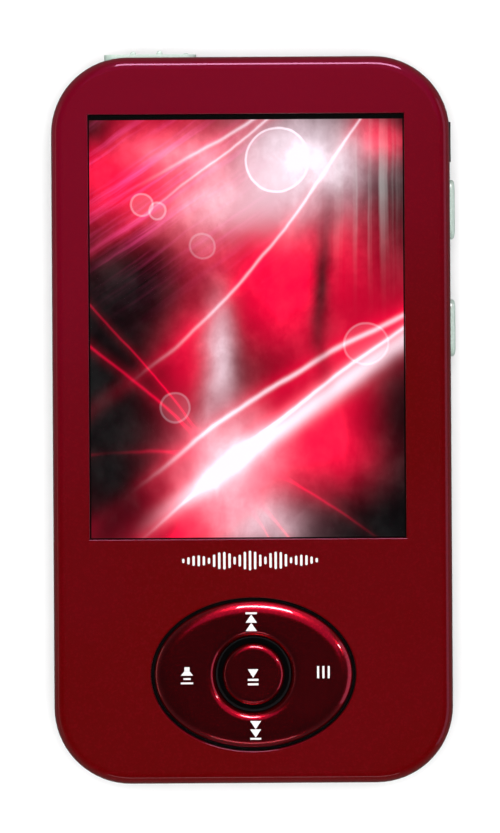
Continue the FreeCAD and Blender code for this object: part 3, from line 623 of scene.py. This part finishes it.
RED_GLOWS = ((0.20, 0.88, 0.34, 0.15, 1.05), (0.64, 0.62, 0.27, 0.17, 1.05), (0.92, 0.95, 0.10, 0.06, 0.8),
             (0.74, 0.22, 0.20, 0.10, 0.8), (0.30, 0.42, 0.09, 0.14, 0.7), (0.42, 0.10, 0.20, 0.14, 0.9))
WHITE_GLOWS = ((0.66, 0.89, 0.20, 0.10, 1.15), (0.44, 0.80, 0.20, 0.07, 0.6), (0.44, 0.17, 0.13, 0.10, 1.0),
               (0.40, 0.44, 0.05, 0.13, 0.75), (0.30, 0.93, 0.16, 0.05, 0.35), (0.55, 0.02, 0.12, 0.06, 0.9))
DARK_GLOWS = ((0.14, 0.60, 0.17, 0.12, 0.9), (0.06, 0.16, 0.16, 0.24, 1.0), (0.98, 0.03, 0.28, 0.12, 1.0),
              (0.75, 0.60, 0.035, 0.19, 0.9), (0.0, 1.0, 0.10, 0.05, 0.8), (1.0, 0.30, 0.10, 0.16, 0.85))
BEAMS = ((-0.06, 0.53, 0.0, 0.030, 0.95), (0.03, 0.50, 0.04, 0.007, 0.7), (-0.12, 0.62, 0.03, 0.006, 0.7),
         (0.78, 0.42, 0.0, 0.005, 0.5), (0.68, 0.56, 0.0, 0.004, 0.45), (0.30, 0.86, -0.10, 0.006, 0.5))
RED_BEAMS = ((0.46, -0.85, 0.08, 0.005, 0.7), (0.56, -1.2, 0.12, 0.004, 0.6), (0.20, -0.25, 0.1, 0.004, 0.5),
             (-0.2, 0.72, 0.0, 0.022, 0.7))
CIRCLES = ((0.60, 0.905, 0.075, 0.8), (0.165, 0.80, 0.026, 0.5), (0.215, 0.785, 0.02, 0.5),
           (0.88, 0.46, 0.05, 0.4), (0.27, 0.31, 0.035, 0.35), (0.36, 0.70, 0.03, 0.3))


def picture_light():
    """The lit picture: beams, circles and glows of red and white light over a dark, smoky ground.

    Every shape is a formula of the picture's own UV coordinates, bent a little by noise.
    """
    material, graph, shader = new_material(
        "lit picture", Roughness=0.35, Emission_Strength=1.25, Specular_IOR_Level=0.2)
    flat = graph.add("ShaderNodeTexCoord").outputs["UV"]
    wobble = graph.add("ShaderNodeTexNoise", {"Vector": flat, "Scale": 3.0, "Detail": 4.0}).outputs["Color"]
    shift = graph.vector("SUBTRACT", wobble, (0.5, 0.5, 0.5))
    bent = graph.vector("MULTIPLY_ADD", shift, (0.13, 0.13, 0.0), flat)
    calm = graph.vector("MULTIPLY_ADD", shift, (0.03, 0.03, 0.0), flat)

    def glow(u, v, reach_u, reach_v, weight=1.0):
        made = graph.group("Soft Glow", bent, Centre=(u, v, 0), Reach=(reach_u, reach_v, 1), Weight=weight)
        return made["Light"]

    def glows(table):
        return graph.plus(*(glow(*row) for row in table))

    def beams(table):
        made = [graph.group("Light Beam", calm, Start=start, Slope=slope, Bow=bow, Width=width, Weight=weight)
                for start, slope, bow, width, weight in table]
        return graph.plus(*(beam["Core"] for beam in made)), graph.plus(*(beam["Halo"] for beam in made))

    def layer(under, amount, colour):
        light = graph.mix(graph.math("ADD", amount, 0.0, clamp=True), (0.0, 0.0, 0.0, 1.0), (*colour, 1.0))
        return graph.mix(1.0, under, light, blend="SCREEN")

    smoke = graph.remap(graph.noise(bent, 4.5, 6.0, 0.62), 0.36, 0.76)
    slanted = graph.mapping(calm, "TEXTURE", Rotation=(0, 0, 0.48), Scale=(0.8, 0.028, 1.0))
    streaks = graph.remap(graph.noise(slanted, 1.0, 4.0, 0.6), 0.45, 0.78)
    bars = graph.remap(graph.noise(graph.mapping(calm, Scale=(34.0, 0.7, 1.0)), 1.0, 2.0, 0.5), 0.42, 0.66)
    side = glow(0.90, 0.83, 0.10, 0.14)
    corner = glow(0.22, 0.86, 0.3, 0.16)
    core, halo = beams(BEAMS)
    red_core, red_halo = beams(RED_BEAMS)
    start = graph.remap(graph.split(calm)[0], 0.10, 0.42)
    circles = graph.plus(*(
        graph.group("Light Circle", calm, Centre=(u, v, 0), Radius=radius, Weight=weight)["Light"]
        for u, v, radius, weight in CIRCLES))
    red = graph.times(glows(RED_GLOWS), graph.math("MULTIPLY_ADD", smoke, 0.6, 0.95))
    red = graph.plus(red, red_core, graph.times(red_halo, 0.22), graph.times(halo, 0.4))
    pink = graph.times(streaks, corner, 1.1)
    white = graph.times(glows(WHITE_GLOWS), graph.math("MULTIPLY_ADD", smoke, 0.6, 0.6))
    white = graph.plus(white, graph.times(core, start), graph.times(circles, 0.8))
    grey = graph.plus(graph.times(side, bars, 0.55), graph.times(smoke, 0.06))
    keep = graph.math("SUBTRACT", 1.0, graph.times(glows(DARK_GLOWS), 0.97), clamp=True)
    lit = layer((0.003, 0.002, 0.003, 1.0), grey, (0.5, 0.56, 0.54))
    lit = layer(lit, graph.times(red, keep), (0.98, 0.0, 0.075))
    lit = layer(lit, pink, (1.0, 0.12, 0.36))
    lit = layer(lit, graph.times(white, graph.math("MULTIPLY_ADD", keep, 0.8, 0.2)), (1.0, 0.87, 0.95))
    lit = graph.add("ShaderNodeGamma", {"Color": lit, "Gamma": 1.22}).outputs[0]
    ground = graph.mix(0.95, lit, (0.006, 0.006, 0.006, 1.0))
    connect(graph, shader, Emission_Color=lit, Base_Color=ground)
    return material


# ---------------------------------------------------------------- pieces


def ring_mesh():
    """The rocker ring as rings of ovals.

    Up the round hole, over its rim (a quarter turn), across the face while the circle widens into
    the ellipse, over the outer rim, which ends steep but not upright, down the wall, out along the
    flange and back underneath.
    """
    size = sizes()
    half_x = RING_HIGH.x - size.ring_flange
    half_y = RING_HIGH.y - NAV_Y - size.ring_flange
    hole = BUTTON_HIGH.x + size.ring_hole_gap
    top, low = RING_HIGH.z, RING_LOW.z
    flange_top = low + 0.6 * MM
    hole_turn = rounding(size.ring_hole_rim, 12)
    inner = [(hole, hole, low), (hole, hole, top - size.ring_hole_rim - 0.2 * MM)]
    inner += [(hole + inset, hole + inset, top - drop) for inset, drop in hole_turn]
    flat_in = hole + size.ring_hole_rim
    across = np.linspace(0, 1, 8)[1:-1, None]
    start = np.array([flat_in, flat_in, top])
    end = np.array([half_x - size.ring_rim_width, half_y - size.ring_rim_width, top])
    face = start + across * (end - start)
    rim_turn = rounding(size.ring_rim, 16, size.ring_rim_width)[::-1]
    outer = [(half_x - inset, half_y - inset, top - drop) for inset, drop in rim_turn]
    wide_x, wide_y = RING_HIGH.x, RING_HIGH.y - NAV_Y
    foot = [(half_x, half_y, flange_top + 0.1 * MM), (half_x, half_y, flange_top),
            (wide_x, wide_y, flange_top), (wide_x, wide_y, low), (hole, hole, low)]
    stations = np.concatenate([inner, face, outer, foot])
    return make_mesh("rocker_ring", [skin(oval_rings(stations, 144))])


def button_mesh():
    """The round button: a shallow dish, z = top - depth (1 - (r / edge)^2), a rounded edge and a wall."""
    size = sizes()
    radius, top, low = BUTTON_HIGH.x, BUTTON_HIGH.z, BUTTON_LOW.z
    edge = radius - size.button_edge
    out = np.linspace(0, 1, 12)[:-1]
    dish = np.column_stack([edge * out, edge * out, top - size.button_dish * (1 - out**2)])
    turn = rounding(size.button_edge, 9)[::-1]
    rim = np.array([(radius - inset, radius - inset, top - drop) for inset, drop in turn])
    foot = np.array([(radius, radius, low + 0.1 * MM), (radius, radius, low), (0, 0, low)])
    return make_mesh("round_button", [skin(oval_rings(np.concatenate([dish, rim, foot]), 96))])


def key_mesh(node):
    """A side key lofted along X: the flange, then the cap with a rounded edge and a crowned face.

    Each station is a rounded outline in Y and Z. On the face the outline shrinks by a share s of
    its half height towards its middle line, and x = face + crown (1 - (1 - s)^2).
    """
    size = sizes()
    low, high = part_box(node)
    flange, half_z = size.key_flange, 1.2 * MM
    flange_depth, foot_depth, nub_half, nub_z = 0.4 * MM, 1.0 * MM, 0.5 * MM, (3.6 * MM, 4.6 * MM)
    middle_y, middle_z = (low.y + high.y) / 2, high.z - flange - half_z
    half_y = (high.y - low.y) / 2 - flange
    flange_x = (low.x + flange_depth, low.x + foot_depth)
    foot = [(flange_x[0], half_y + flange, half_z + flange), (flange_x[1], half_y + flange, half_z + flange),
            (flange_x[1], half_y, half_z)]
    face_x = high.x - size.key_crown
    inset, drop = rounding(size.key_edge, 8).T
    edge = np.column_stack([face_x - drop, half_y - inset, half_z - inset])
    share = np.linspace(0, 1, 8)[1:]
    left = half_z - size.key_edge
    crown = np.column_stack([face_x + size.key_crown * (1 - (1 - share) ** 2),
                             half_y - size.key_edge - share * left, left * (1 - share)])
    x, a, b = np.concatenate([foot, edge, crown]).T
    rings = along_x(x, middle_y, middle_z, rounded_outline(a, b, np.minimum(a, b), 14))
    nub = block((low.x, middle_y - nub_half, nub_z[0]), (flange_x[0], middle_y + nub_half, nub_z[1]))
    return make_mesh(node + "_cap", [skin(closed_ends(rings)[:-1]), nub])


def knob_mesh():
    """The sliding knob: sections across it from end to end, with three smooth finger ribs.

    The top is base + sum of height exp(-(|x - rib| / width)^6). Towards an end, over a length e, the
    sections narrow by a third of 1 - sqrt(1 - past^2).
    """
    size = sizes()
    low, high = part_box("switch_knob")
    base, seat = 42.8 * MM, 42.0 * MM
    middle_x, half_x = (low.x + high.x) / 2, (high.x - low.x) / 2
    middle_z, half_z = (low.z + high.z) / 2, (high.z - low.z) / 2
    x = np.linspace(-half_x, half_x, 180)
    tops = np.array([high.y - 0.10 * MM, high.y, high.y - 0.31 * MM]) - base
    reach = np.abs(x[:, None] - np.array([-1, 0, 1]) * size.rib_pitch) / (0.52 * size.rib_width)
    top = base + (tops * np.exp(-(reach**6))).sum(axis=1)
    end = 0.3 * MM
    past = np.clip((np.abs(x) - (half_x - end)) / end, 0, 1)
    narrow = 1 - 0.35 * (1 - np.sqrt(1 - past**2))
    tall = (top - seat) / 2
    outlines = rounded_outline(tall, half_z * narrow, 0.22 * MM, 6)
    outlines[..., 0] += tall[:, None]
    body = skin(closed_ends(along_x(middle_x + x, seat, middle_z, outlines)))
    gap, prong_half, bridge_y = 0.05 * MM, 0.4 * MM, 41.0 * MM
    left, right = middle_x - 1.3 * MM, middle_x + 1.3 * MM
    below, above, thinner = middle_z - prong_half, middle_z + prong_half, 0.02 * MM
    prong_z, prong_y = (below + thinner, above - thinner), (low.y, bridge_y + gap)
    fork = [block((left, bridge_y, below), (right, seat + 2 * gap, above)),
            block((left + thinner, prong_y[0], prong_z[0]), (LEVER_LOW.x - gap, prong_y[1], prong_z[1])),
            block((LEVER_HIGH.x + gap, prong_y[0], prong_z[0]), (right - thinner, prong_y[1], prong_z[1]))]
    return make_mesh("ribbed_knob", [body, *fork])


def picture_mesh():
    """The lit area: a thin slab on the display's glass with a UV map that runs over it from 0 to 1."""
    half_x, half_y = sizes().picture_half_x, sizes().picture_half_y
    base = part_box("display_panel")[1].z
    low = (PANE_MIDDLE.x - half_x, PANE_MIDDLE.y - half_y, base + 0.004 * MM)
    high = (PANE_MIDDLE.x + half_x, PANE_MIDDLE.y + half_y, base + 0.02 * MM)
    mesh = make_mesh("lit_picture", [block(low, high)])
    count = len(mesh.loops)
    corner = np.empty(count, np.int32)
    mesh.loops.foreach_get("vertex_index", corner)
    place = np.empty(len(mesh.vertices) * 3)
    mesh.vertices.foreach_get("co", place)
    flat = place.reshape(-1, 3)[corner, :2]
    uv = (flat - (low[0], low[1])) / (2 * half_x, 2 * half_y)
    mesh.uv_layers.new(name="picture").data.foreach_set("uv", uv.ravel())
    return mesh


def mark_previous():
    """A bar and two triangles that point up the case."""
    x, top = -0.23, 7.26
    shapes = [rectangle(x - 0.66, x + 0.66, top - 0.22, top)]
    for index in range(2):
        tip = top - 0.26 - 0.98 * index
        shapes.append([(x, tip), (x - 0.66, tip - 0.96), (x + 0.66, tip - 0.96)])
    return shapes


def mark_next():
    """Two triangles that point down the case, and a bar."""
    x, low = 0.21, -7.65
    shapes = [rectangle(x - 0.64, x + 0.64, low, low + 0.22)]
    for index in range(2):
        tip = low + 0.26 + 0.98 * index
        shapes.append([(x, tip), (x + 0.64, tip + 0.96), (x - 0.64, tip + 0.96)])
    return shapes


def mark_play():
    """A triangle that points down the case and two bars."""
    shapes = [[(-0.05, -0.40), (0.57, 0.60), (-0.67, 0.60)]]
    for y in (-0.76, -1.28):
        shapes.append(rectangle(-0.67, 0.57, y, y + 0.24))
    return shapes


def mark_volume():
    """A loudspeaker and two bars of sound, turned a quarter clockwise for use with the case on its side."""
    shapes = [rectangle(-1.28, -0.82, -0.3, 0.3), [(-0.8, -0.3), (-0.3, -0.72), (-0.3, 0.72), (-0.8, 0.3)],
              rectangle(0.0, 0.2, -0.42, 0.42), rectangle(0.5, 0.7, -0.72, 0.72)]
    return [[(y - 7.78, -x - 0.4) for x, y in shape] for shape in shapes]


def mark_list():
    """Three bars, the sign of a list, turned with the loudspeaker."""
    return [rectangle(x, x + 0.24, -0.5, 0.93) for x in (7.43, 8.05, 8.67)]


def rectangle(low_x, high_x, low_y, high_y):
    """A rectangle's four corners."""
    return [(low_x, low_y), (high_x, low_y), (high_x, high_y), (low_x, high_y)]


def ring_height(x, y):
    """Height of the ring's face at points about its middle.

    The inset s from the outside solves (x / (A - s))^2 + (y / (B - s))^2 = 1 and is found by halving.
    Within a rim of radius R and width w the height is top - R + sqrt(R^2 - (w - inset)^2), elsewhere
    it is top.
    """
    size = sizes()
    half_x, half_y = RING_HIGH.x - size.ring_flange, RING_HIGH.y - NAV_Y - size.ring_flange
    low, high = np.zeros_like(x), np.full_like(x, 0.95 * half_y)
    for _ in range(40):
        middle = (low + high) / 2
        inside = (x / (half_x - middle)) ** 2 + (y / (half_y - middle)) ** 2 < 1
        low, high = np.where(inside, middle, low), np.where(inside, high, middle)
    from_hole = np.hypot(x, y) - BUTTON_HIGH.x - size.ring_hole_gap
    drop = 0.0
    rims = ((low, size.ring_rim, size.ring_rim_width), (from_hole, size.ring_hole_rim, size.ring_hole_rim))
    for inset, radius, width in rims:
        left = np.clip(width - inset, 0, width)
        drop = drop + radius - np.sqrt(radius**2 - left**2)
    return RING_HIGH.z - drop


def button_height(x, y):
    """Height of the round button's dished face at points about its middle."""
    size = sizes()
    out = np.hypot(x, y) / (BUTTON_HIGH.x - size.button_edge)
    return BUTTON_HIGH.z - size.button_dish * (1 - out**2)


def print_mesh(name, shapes, height):
    """Convex printed shapes, given in millimetres about the rocker's middle, laid on a curved face.

    Each outline is filled with loops that shrink to its middle, set print_height above the face,
    and closed below by the outline and its middle a little under the face.
    """
    parts = []
    for shape in shapes:
        corners = np.asarray(shape, float) * MM
        share = np.linspace(0, 1, 7)[:-1, None]
        following = np.roll(corners, -1, axis=0)
        outline = (corners[:, None] * (1 - share) + following[:, None] * share).reshape(-1, 2)
        middle = corners.mean(axis=0)
        scale = np.array([0, 1, 1, 0.75, 0.5, 0.25, 0])[:, None]
        lift = np.where(np.arange(len(scale)) < 2, -0.01 * MM, sizes().print_height)[:, None]
        x, y = (middle[axis] + scale * (outline[:, axis] - middle[axis]) for axis in (0, 1))
        parts.append(skin(np.stack([x, y + NAV_Y, height(x, y) + lift], axis=-1)))
    return make_mesh(name, parts)


def motif_mesh():
    """A row of thin bars like a sound's outline.

    Bar k at t from -1 to 1 has height h (0.22 + 0.78 |cos(7.5 t) (1 - t^2)|^0.8).
    """
    size = sizes()
    t = np.linspace(-1, 1, size.bar_count)
    x = t * (size.bar_count - 1) / 2 * size.bar_pitch + PANE_MIDDLE.x + 0.2 * MM
    height = size.bar_height * (0.22 + 0.78 * np.abs(np.cos(7.5 * t) * (1 - t**2)) ** 0.8)
    middle_y = PANE_LOW.y - 1.25 * MM
    half = 0.23 * size.bar_pitch
    bars = rounded_outline(np.full_like(height, half), height / 2, 0.98 * half, 5)
    bars += np.column_stack([x, np.full_like(x, middle_y)])[:, None]
    low_z, high_z = FACE_Z - 0.01 * MM, FACE_Z + size.print_height
    return make_mesh("motif_bars", [prism(bar, low_z, high_z) for bar in bars])


def contact_mesh():
    """Five gold fingers on the charging socket's tongue, evenly spaced."""
    low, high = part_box("usb_tongue")
    half, face = 0.2 * MM, 4.2 * MM
    near, far = low.y + 0.15 * MM, high.y - 1.4 * MM
    places = (low.x + high.x) / 2 + np.arange(-2, 3) * 0.8 * MM
    fingers = [block((x - half, near, face - 0.03 * MM), (x + half, far, face + 0.02 * MM)) for x in places]
    return make_mesh("socket_fingers", fingers)


# ---------------------------------------------------------------- operators


def finish_node(node, material):
    """A CAD node takes a finish in each of its material slots."""
    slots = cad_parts[node].material_slots
    for index in range(len(slots)):
        slots[index].material = material


class PLAYER_OT_case(bpy.types.Operator):
    """Finish the two covers, the screws and the strap bar"""

    bl_idname = "player.case"
    bl_label = "Case"

    def execute(self, context):
        tones = colours()
        finish_node("front_cover", front_paint())
        rear = moulded("rear moulding", tones.rear_red, 0.34, 2600.0, 0.006 * MM, coat=0.12)
        finish_node("rear_cover", rear)
        dark = brushed("dark metal", tones.dark_metal, 0.28)
        for node in ("case_screws", "board_screws", "strap_bar"):
            finish_node(node, dark)
        return {"FINISHED"}


class PLAYER_OT_display(bpy.types.Operator):
    """Make the lit picture and finish the pane and the display behind it"""

    bl_idname = "player.display"
    bl_label = "Display"

    def execute(self, context):
        add_piece("lit_picture", picture_mesh(), picture_light(), "case", "panel_glass")
        finish_node("display_window", pane_clear())
        border = moulded("display border", (0.004, 0.004, 0.005, 1), 0.12, 800.0, 0.0005 * MM, coat=0.6)
        finish_node("display_panel", border)
        black = moulded("black seal", (0.008, 0.008, 0.008, 1), 0.7, 3000.0, 0.01 * MM)
        for node in ("display_gasket", "window_adhesive"):
            finish_node(node, black)
        return {"FINISHED"}


class PLAYER_OT_rocker(bpy.types.Operator):
    """Make the rocker ring with its printed marks"""

    bl_idname = "player.rocker"
    bl_label = "Rocker Ring"

    def execute(self, context):
        add_piece("rocker_ring", ring_mesh(), candy_paint(), "nav_ring_body", "ring_plastic", "nav_ring")
        ink = printed_ink()
        signs = {"mark_previous": mark_previous(), "mark_next": mark_next(),
                 "mark_volume": mark_volume(), "mark_list": mark_list()}
        for name, shapes in signs.items():
            add_piece(name, print_mesh(name, shapes, ring_height), ink, "nav_ring_body", "ring_plastic")
        return {"FINISHED"}


class PLAYER_OT_button(bpy.types.Operator):
    """Make the round button with its mark"""

    bl_idname = "player.button"
    bl_label = "Round Button"

    def execute(self, context):
        paint = bpy.data.materials["candy paint"]
        add_piece("round_button", button_mesh(), paint, "play_button_body", "button_plastic", "play_button")
        mark = print_mesh("mark_play", mark_play(), button_height)
        add_piece("mark_play", mark, bpy.data.materials["printed ink"], "play_button_body", "button_plastic")
        return {"FINISHED"}


class PLAYER_OT_keys(bpy.types.Operator):
    """Make the two side keys"""

    bl_idname = "player.keys"
    bl_label = "Side Keys"

    def execute(self, context):
        silver = silver_paint()
        for node in ("power_key", "back_key"):
            add_piece(node + "_cap", key_mesh(node), silver, node + "_body", "silver_key", node)
        return {"FINISHED"}


class PLAYER_OT_slider(bpy.types.Operator):
    """Make the ribbed knob and finish its track"""

    bl_idname = "player.slider"
    bl_label = "Slide Switch"

    def execute(self, context):
        silver = bpy.data.materials["silver paint"]
        add_piece("ribbed_knob", knob_mesh(), silver, "slider_body", "silver_key", "switch_knob")
        finish_node("switch_track", silver)
        return {"FINISHED"}


class PLAYER_OT_motif(bpy.types.Operator):
    """Print the row of bars under the display"""

    bl_idname = "player.motif"
    bl_label = "Motif"

    def execute(self, context):
        add_piece("motif_bars", motif_mesh(), bpy.data.materials["printed ink"], "case", "red_shell")
        return {"FINISHED"}


class PLAYER_OT_sockets(bpy.types.Operator):
    """Finish the sockets and add the charging socket's contact fingers"""

    bl_idname = "player.sockets"
    bl_label = "Sockets"

    def execute(self, context):
        black = moulded("socket black", (0.012, 0.012, 0.013, 1), 0.45, 3200.0, 0.004 * MM)
        for node in ("headphone_jack", "usb_tongue", "card_base"):
            finish_node(node, black)
        sheet = brushed("pressed sheet", (0.55, 0.56, 0.58, 1), 0.3)
        for node in ("usb_shell", "card_cover", "display_frame", "slide_switch", "clock_crystal",
                     "microphone"):
            finish_node(node, sheet)
        gold = brushed("plated contact", (0.83, 0.6, 0.22, 1), 0.22)
        finish_node("jack_contacts", gold)
        add_piece("socket_fingers", contact_mesh(), gold, "case", "contact_brass")
        return {"FINISHED"}


class PLAYER_OT_inside(bpy.types.Operator):
    """Finish the pieces inside the case"""

    bl_idname = "player.inside"
    bl_label = "Inside"

    def execute(self, context):
        board = board_finish()
        for node in ("main_board", "battery_tabs"):
            finish_node(node, board)
        foil = brushed("battery foil", (0.6, 0.61, 0.63, 1), 0.35)
        finish_node("battery_cell", foil)
        finish_node("dome_switches", foil)
        plain = {
            "chip epoxy": ((0.014, 0.014, 0.015, 1), 0.55, 2200.0, 0.01 * MM,
                           ("processor_chip", "memory_chip", "power_chip", "audio_chip", "display_driver",
                            "power_inductor", "side_switches", "reset_switch", "nav_carrier")),
            "silicone": ((0.003, 0.003, 0.003, 1), 0.7, 1400.0, 0.006 * MM,
                         ("keypad_mat", "button_boot", "mic_boot")),
            "ivory plastic": ((0.72, 0.69, 0.6, 1), 0.45, 1800.0, 0.004 * MM,
                              ("display_connector", "power_plunger", "back_plunger", "slide_lever",
                               "reset_plunger", "battery_tape")),
            "amber film": ((0.42, 0.16, 0.02, 1), 0.3, 700.0, 0.002 * MM, ("display_flex",)),
            "clear guide": ((0.82, 0.85, 0.88, 1), 0.2, 600.0, 0.001 * MM, ("light_guide",)),
            "yellow body": ((0.7, 0.42, 0.06, 1), 0.4, 2000.0, 0.004 * MM, ("output_capacitors",)),
            "ceramic": ((0.42, 0.3, 0.2, 1), 0.5, 2600.0, 0.004 * MM, ("small_capacitors",)),
            "red lead": ((0.45, 0.01, 0.01, 1), 0.5, 1600.0, 0.003 * MM, ("positive_lead",)),
            "black lead": ((0.012, 0.012, 0.012, 1), 0.5, 1600.0, 0.003 * MM, ("negative_lead",)),
        }
        for name, (colour, roughness, scale, depth, nodes) in plain.items():
            material = moulded(name, colour, roughness, scale, depth)
            for node in nodes:
                finish_node(node, material)
        return {"FINISHED"}


class PLAYER_OT_stage(bpy.types.Operator):
    """Set the pale floor, the soft lights and the camera above the display"""

    bl_idname = "player.stage"
    bl_label = "Stage"

    def execute(self, context):
        make_floor()
        make_world()
        make_lights()
        make_camera()
        return {"FINISHED"}


# ---------------------------------------------------------------- stage


def make_floor():
    """A wide pale floor just under the player."""
    half = 6.0
    mesh = make_mesh("floor", [block((-half, -half, -0.02), (half, half, -0.02 * MM))])
    material, graph, shader = new_material("pale floor", Specular_IOR_Level=0.1)
    level = graph.remap(graph.noise(graph.object_coords(), 6.0), 0.2, 0.8, 0.91, 0.94)
    connect(graph, shader, Base_Color=graph.grey(level), Roughness=graph.minus(level, 0.1))
    mesh.materials.append(material)
    floor = bpy.data.objects.new("floor", mesh)
    bpy.context.scene.collection.objects.link(floor)
    floor.visible_glossy = False


def make_world():
    """Pale all round to the eye, and for the gloss a dim room that darkens towards its ceiling."""
    world = bpy.data.worlds.new("studio")
    bpy.context.scene.world = world
    world.use_nodes = True
    graph = Graph(world.node_tree)
    background = world.node_tree.nodes["Background"]
    up = graph.split(graph.add("ShaderNodeTexCoord").outputs["Generated"])[2]
    wall = graph.remap(up, -0.2, 0.7, 0.16, 0.028)
    eye = graph.add("ShaderNodeLightPath").outputs["Is Camera Ray"]
    level = graph.add("ShaderNodeMix", {0: eye, 2: wall, 3: 1.0}, data_type="FLOAT").outputs[0]
    graph.link(graph.grey(level), background.inputs["Color"])


def add_light(name, kind, direction, distance, energy, colour=(1, 1, 1), **settings):
    """A light at a distance in a direction from the player, which looks back at it."""
    data = bpy.data.lights.new(name, kind)
    data.energy = energy
    data.color = colour
    for key, value in settings.items():
        setattr(data, key, value)
    lamp = bpy.data.objects.new(name, data)
    azimuth, elevation = (math.radians(angle) for angle in direction)
    away = np.array([math.sin(azimuth) * math.cos(elevation), math.cos(azimuth) * math.cos(elevation),
                     math.sin(elevation)])
    lamp.location = tuple(away * distance + (0, 0, FACE_Z))
    lamp.rotation_euler = (math.pi / 2 - math.radians(elevation_of(away)), 0, math.pi - azimuth)
    lamp.visible_camera = False
    bpy.context.scene.collection.objects.link(lamp)
    return lamp


def elevation_of(away):
    """A direction's angle above the floor, in degrees."""
    return math.degrees(math.asin(away[2] / np.linalg.norm(away)))


def light_only(lamp, names):
    """The light reaches only the named nodes and pieces."""
    lit = bpy.data.collections.new(lamp.name)
    for name in names:
        lit.objects.link(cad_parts[name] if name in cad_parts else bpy.data.objects[name])
    lamp.light_linking.receiver_collection = lit


def make_lights():
    """One wide overhead fill that leaves no glare, and strips and panels for the gloss of the edges."""
    fill = add_light("overhead fill", "SUN", (0, 89.9), 1.0, 4.75, angle=math.radians(56))
    fill.visible_glossy = fill.visible_transmission = False
    strips = {
        "head strip": ((6, 37), 0.7, 26.0, (1.0, 0.97, 1.0), 0.28, 0.13),
        "cover strip": ((6, 37), 0.7, 20.0, (1.0, 0.42, 0.74), 0.34, 0.16),
        "foot strip": ((180, 24), 0.8, 3.0, (1.0, 0.75, 0.85), 0.5, 0.05),
        "window glint": ((63, 34), 0.8, 22.0, (1.0, 0.97, 1.0), 0.05, 0.1),
        "head panel": ((16, 41), 0.8, 0.62, (1.0, 0.05, 0.36), 0.95, 1.1),
        "key side panel": ((92, 16), 0.8, 0.8, (0.9, 0.5, 0.85), 1.0, 0.35),
        "far side strip": ((-90, 8), 0.8, 0.9, (1.0, 0.9, 0.82), 0.8, 0.06),
    }
    receivers = {
        "head strip": ("rocker_ring", "round_button", "ribbed_knob", "power_key_cap", "back_key_cap"),
        "cover strip": ("front_cover",),
        "window glint": ("rocker_ring", "round_button"),
    }
    for name, (direction, distance, radiance, colour, width, height) in strips.items():
        power = radiance * math.pi * width * height
        face = {"shape": "RECTANGLE", "size": width, "size_y": height}
        strip = add_light(name, "AREA", direction, distance, power, colour, **face)
        strip.visible_diffuse = False
        if name in receivers:
            light_only(strip, receivers[name])


def make_camera():
    """A long lens straight above the display, with the player nearly filling the view."""
    data = bpy.data.cameras.new("camera")
    camera = bpy.data.objects.new("camera", data)
    bpy.context.scene.collection.objects.link(camera)
    distance = 0.9
    view_height = 97.6 * MM
    data.sensor_width = 36.0
    data.lens = data.sensor_width * distance / view_height
    data.clip_start, data.clip_end = 0.05, 20.0
    camera.location = (-0.23 * MM, 0.40 * MM, 8.5 * MM + distance)
    camera.rotation_euler = (0, 0, math.radians(-0.35))
    bpy.context.scene.camera = camera
    bpy.context.scene.view_settings.view_transform = "Standard"


# ---------------------------------------------------------------- add-on


STEPS = (PLAYER_OT_case, PLAYER_OT_display, PLAYER_OT_rocker, PLAYER_OT_button, PLAYER_OT_keys,
         PLAYER_OT_slider, PLAYER_OT_motif, PLAYER_OT_sockets, PLAYER_OT_inside, PLAYER_OT_stage)


class PLAYER_PT_panel(bpy.types.Panel):
    """Lists the player's steps"""

    bl_idname = "PLAYER_PT_panel"
    bl_label = "Pocket Audio Player"
    bl_space_type = "VIEW_3D"
    bl_region_type = "UI"
    bl_category = "Player"

    def draw(self, context):
        for step in STEPS:
            self.layout.operator(step.bl_idname)


CLASSES = (PlayerSizes, PlayerColours, *STEPS, PLAYER_PT_panel)


def register():
    """Adds the classes and the scene's sizes and colours."""
    for kind in CLASSES:
        bpy.utils.register_class(kind)
    bpy.types.Scene.player_sizes = PointerProperty(type=PlayerSizes)
    bpy.types.Scene.player_colours = PointerProperty(type=PlayerColours)


def unregister():
    """Takes them away again."""
    del bpy.types.Scene.player_colours
    del bpy.types.Scene.player_sizes
    for kind in reversed(CLASSES):
        bpy.utils.unregister_class(kind)


def main():
    """Runs every step in order."""
    register()
    build_groups()
    for step in STEPS:
        group, name = step.bl_idname.split(".")
        getattr(getattr(bpy.ops, group), name)()


if __name__ == "__main__":
    main()
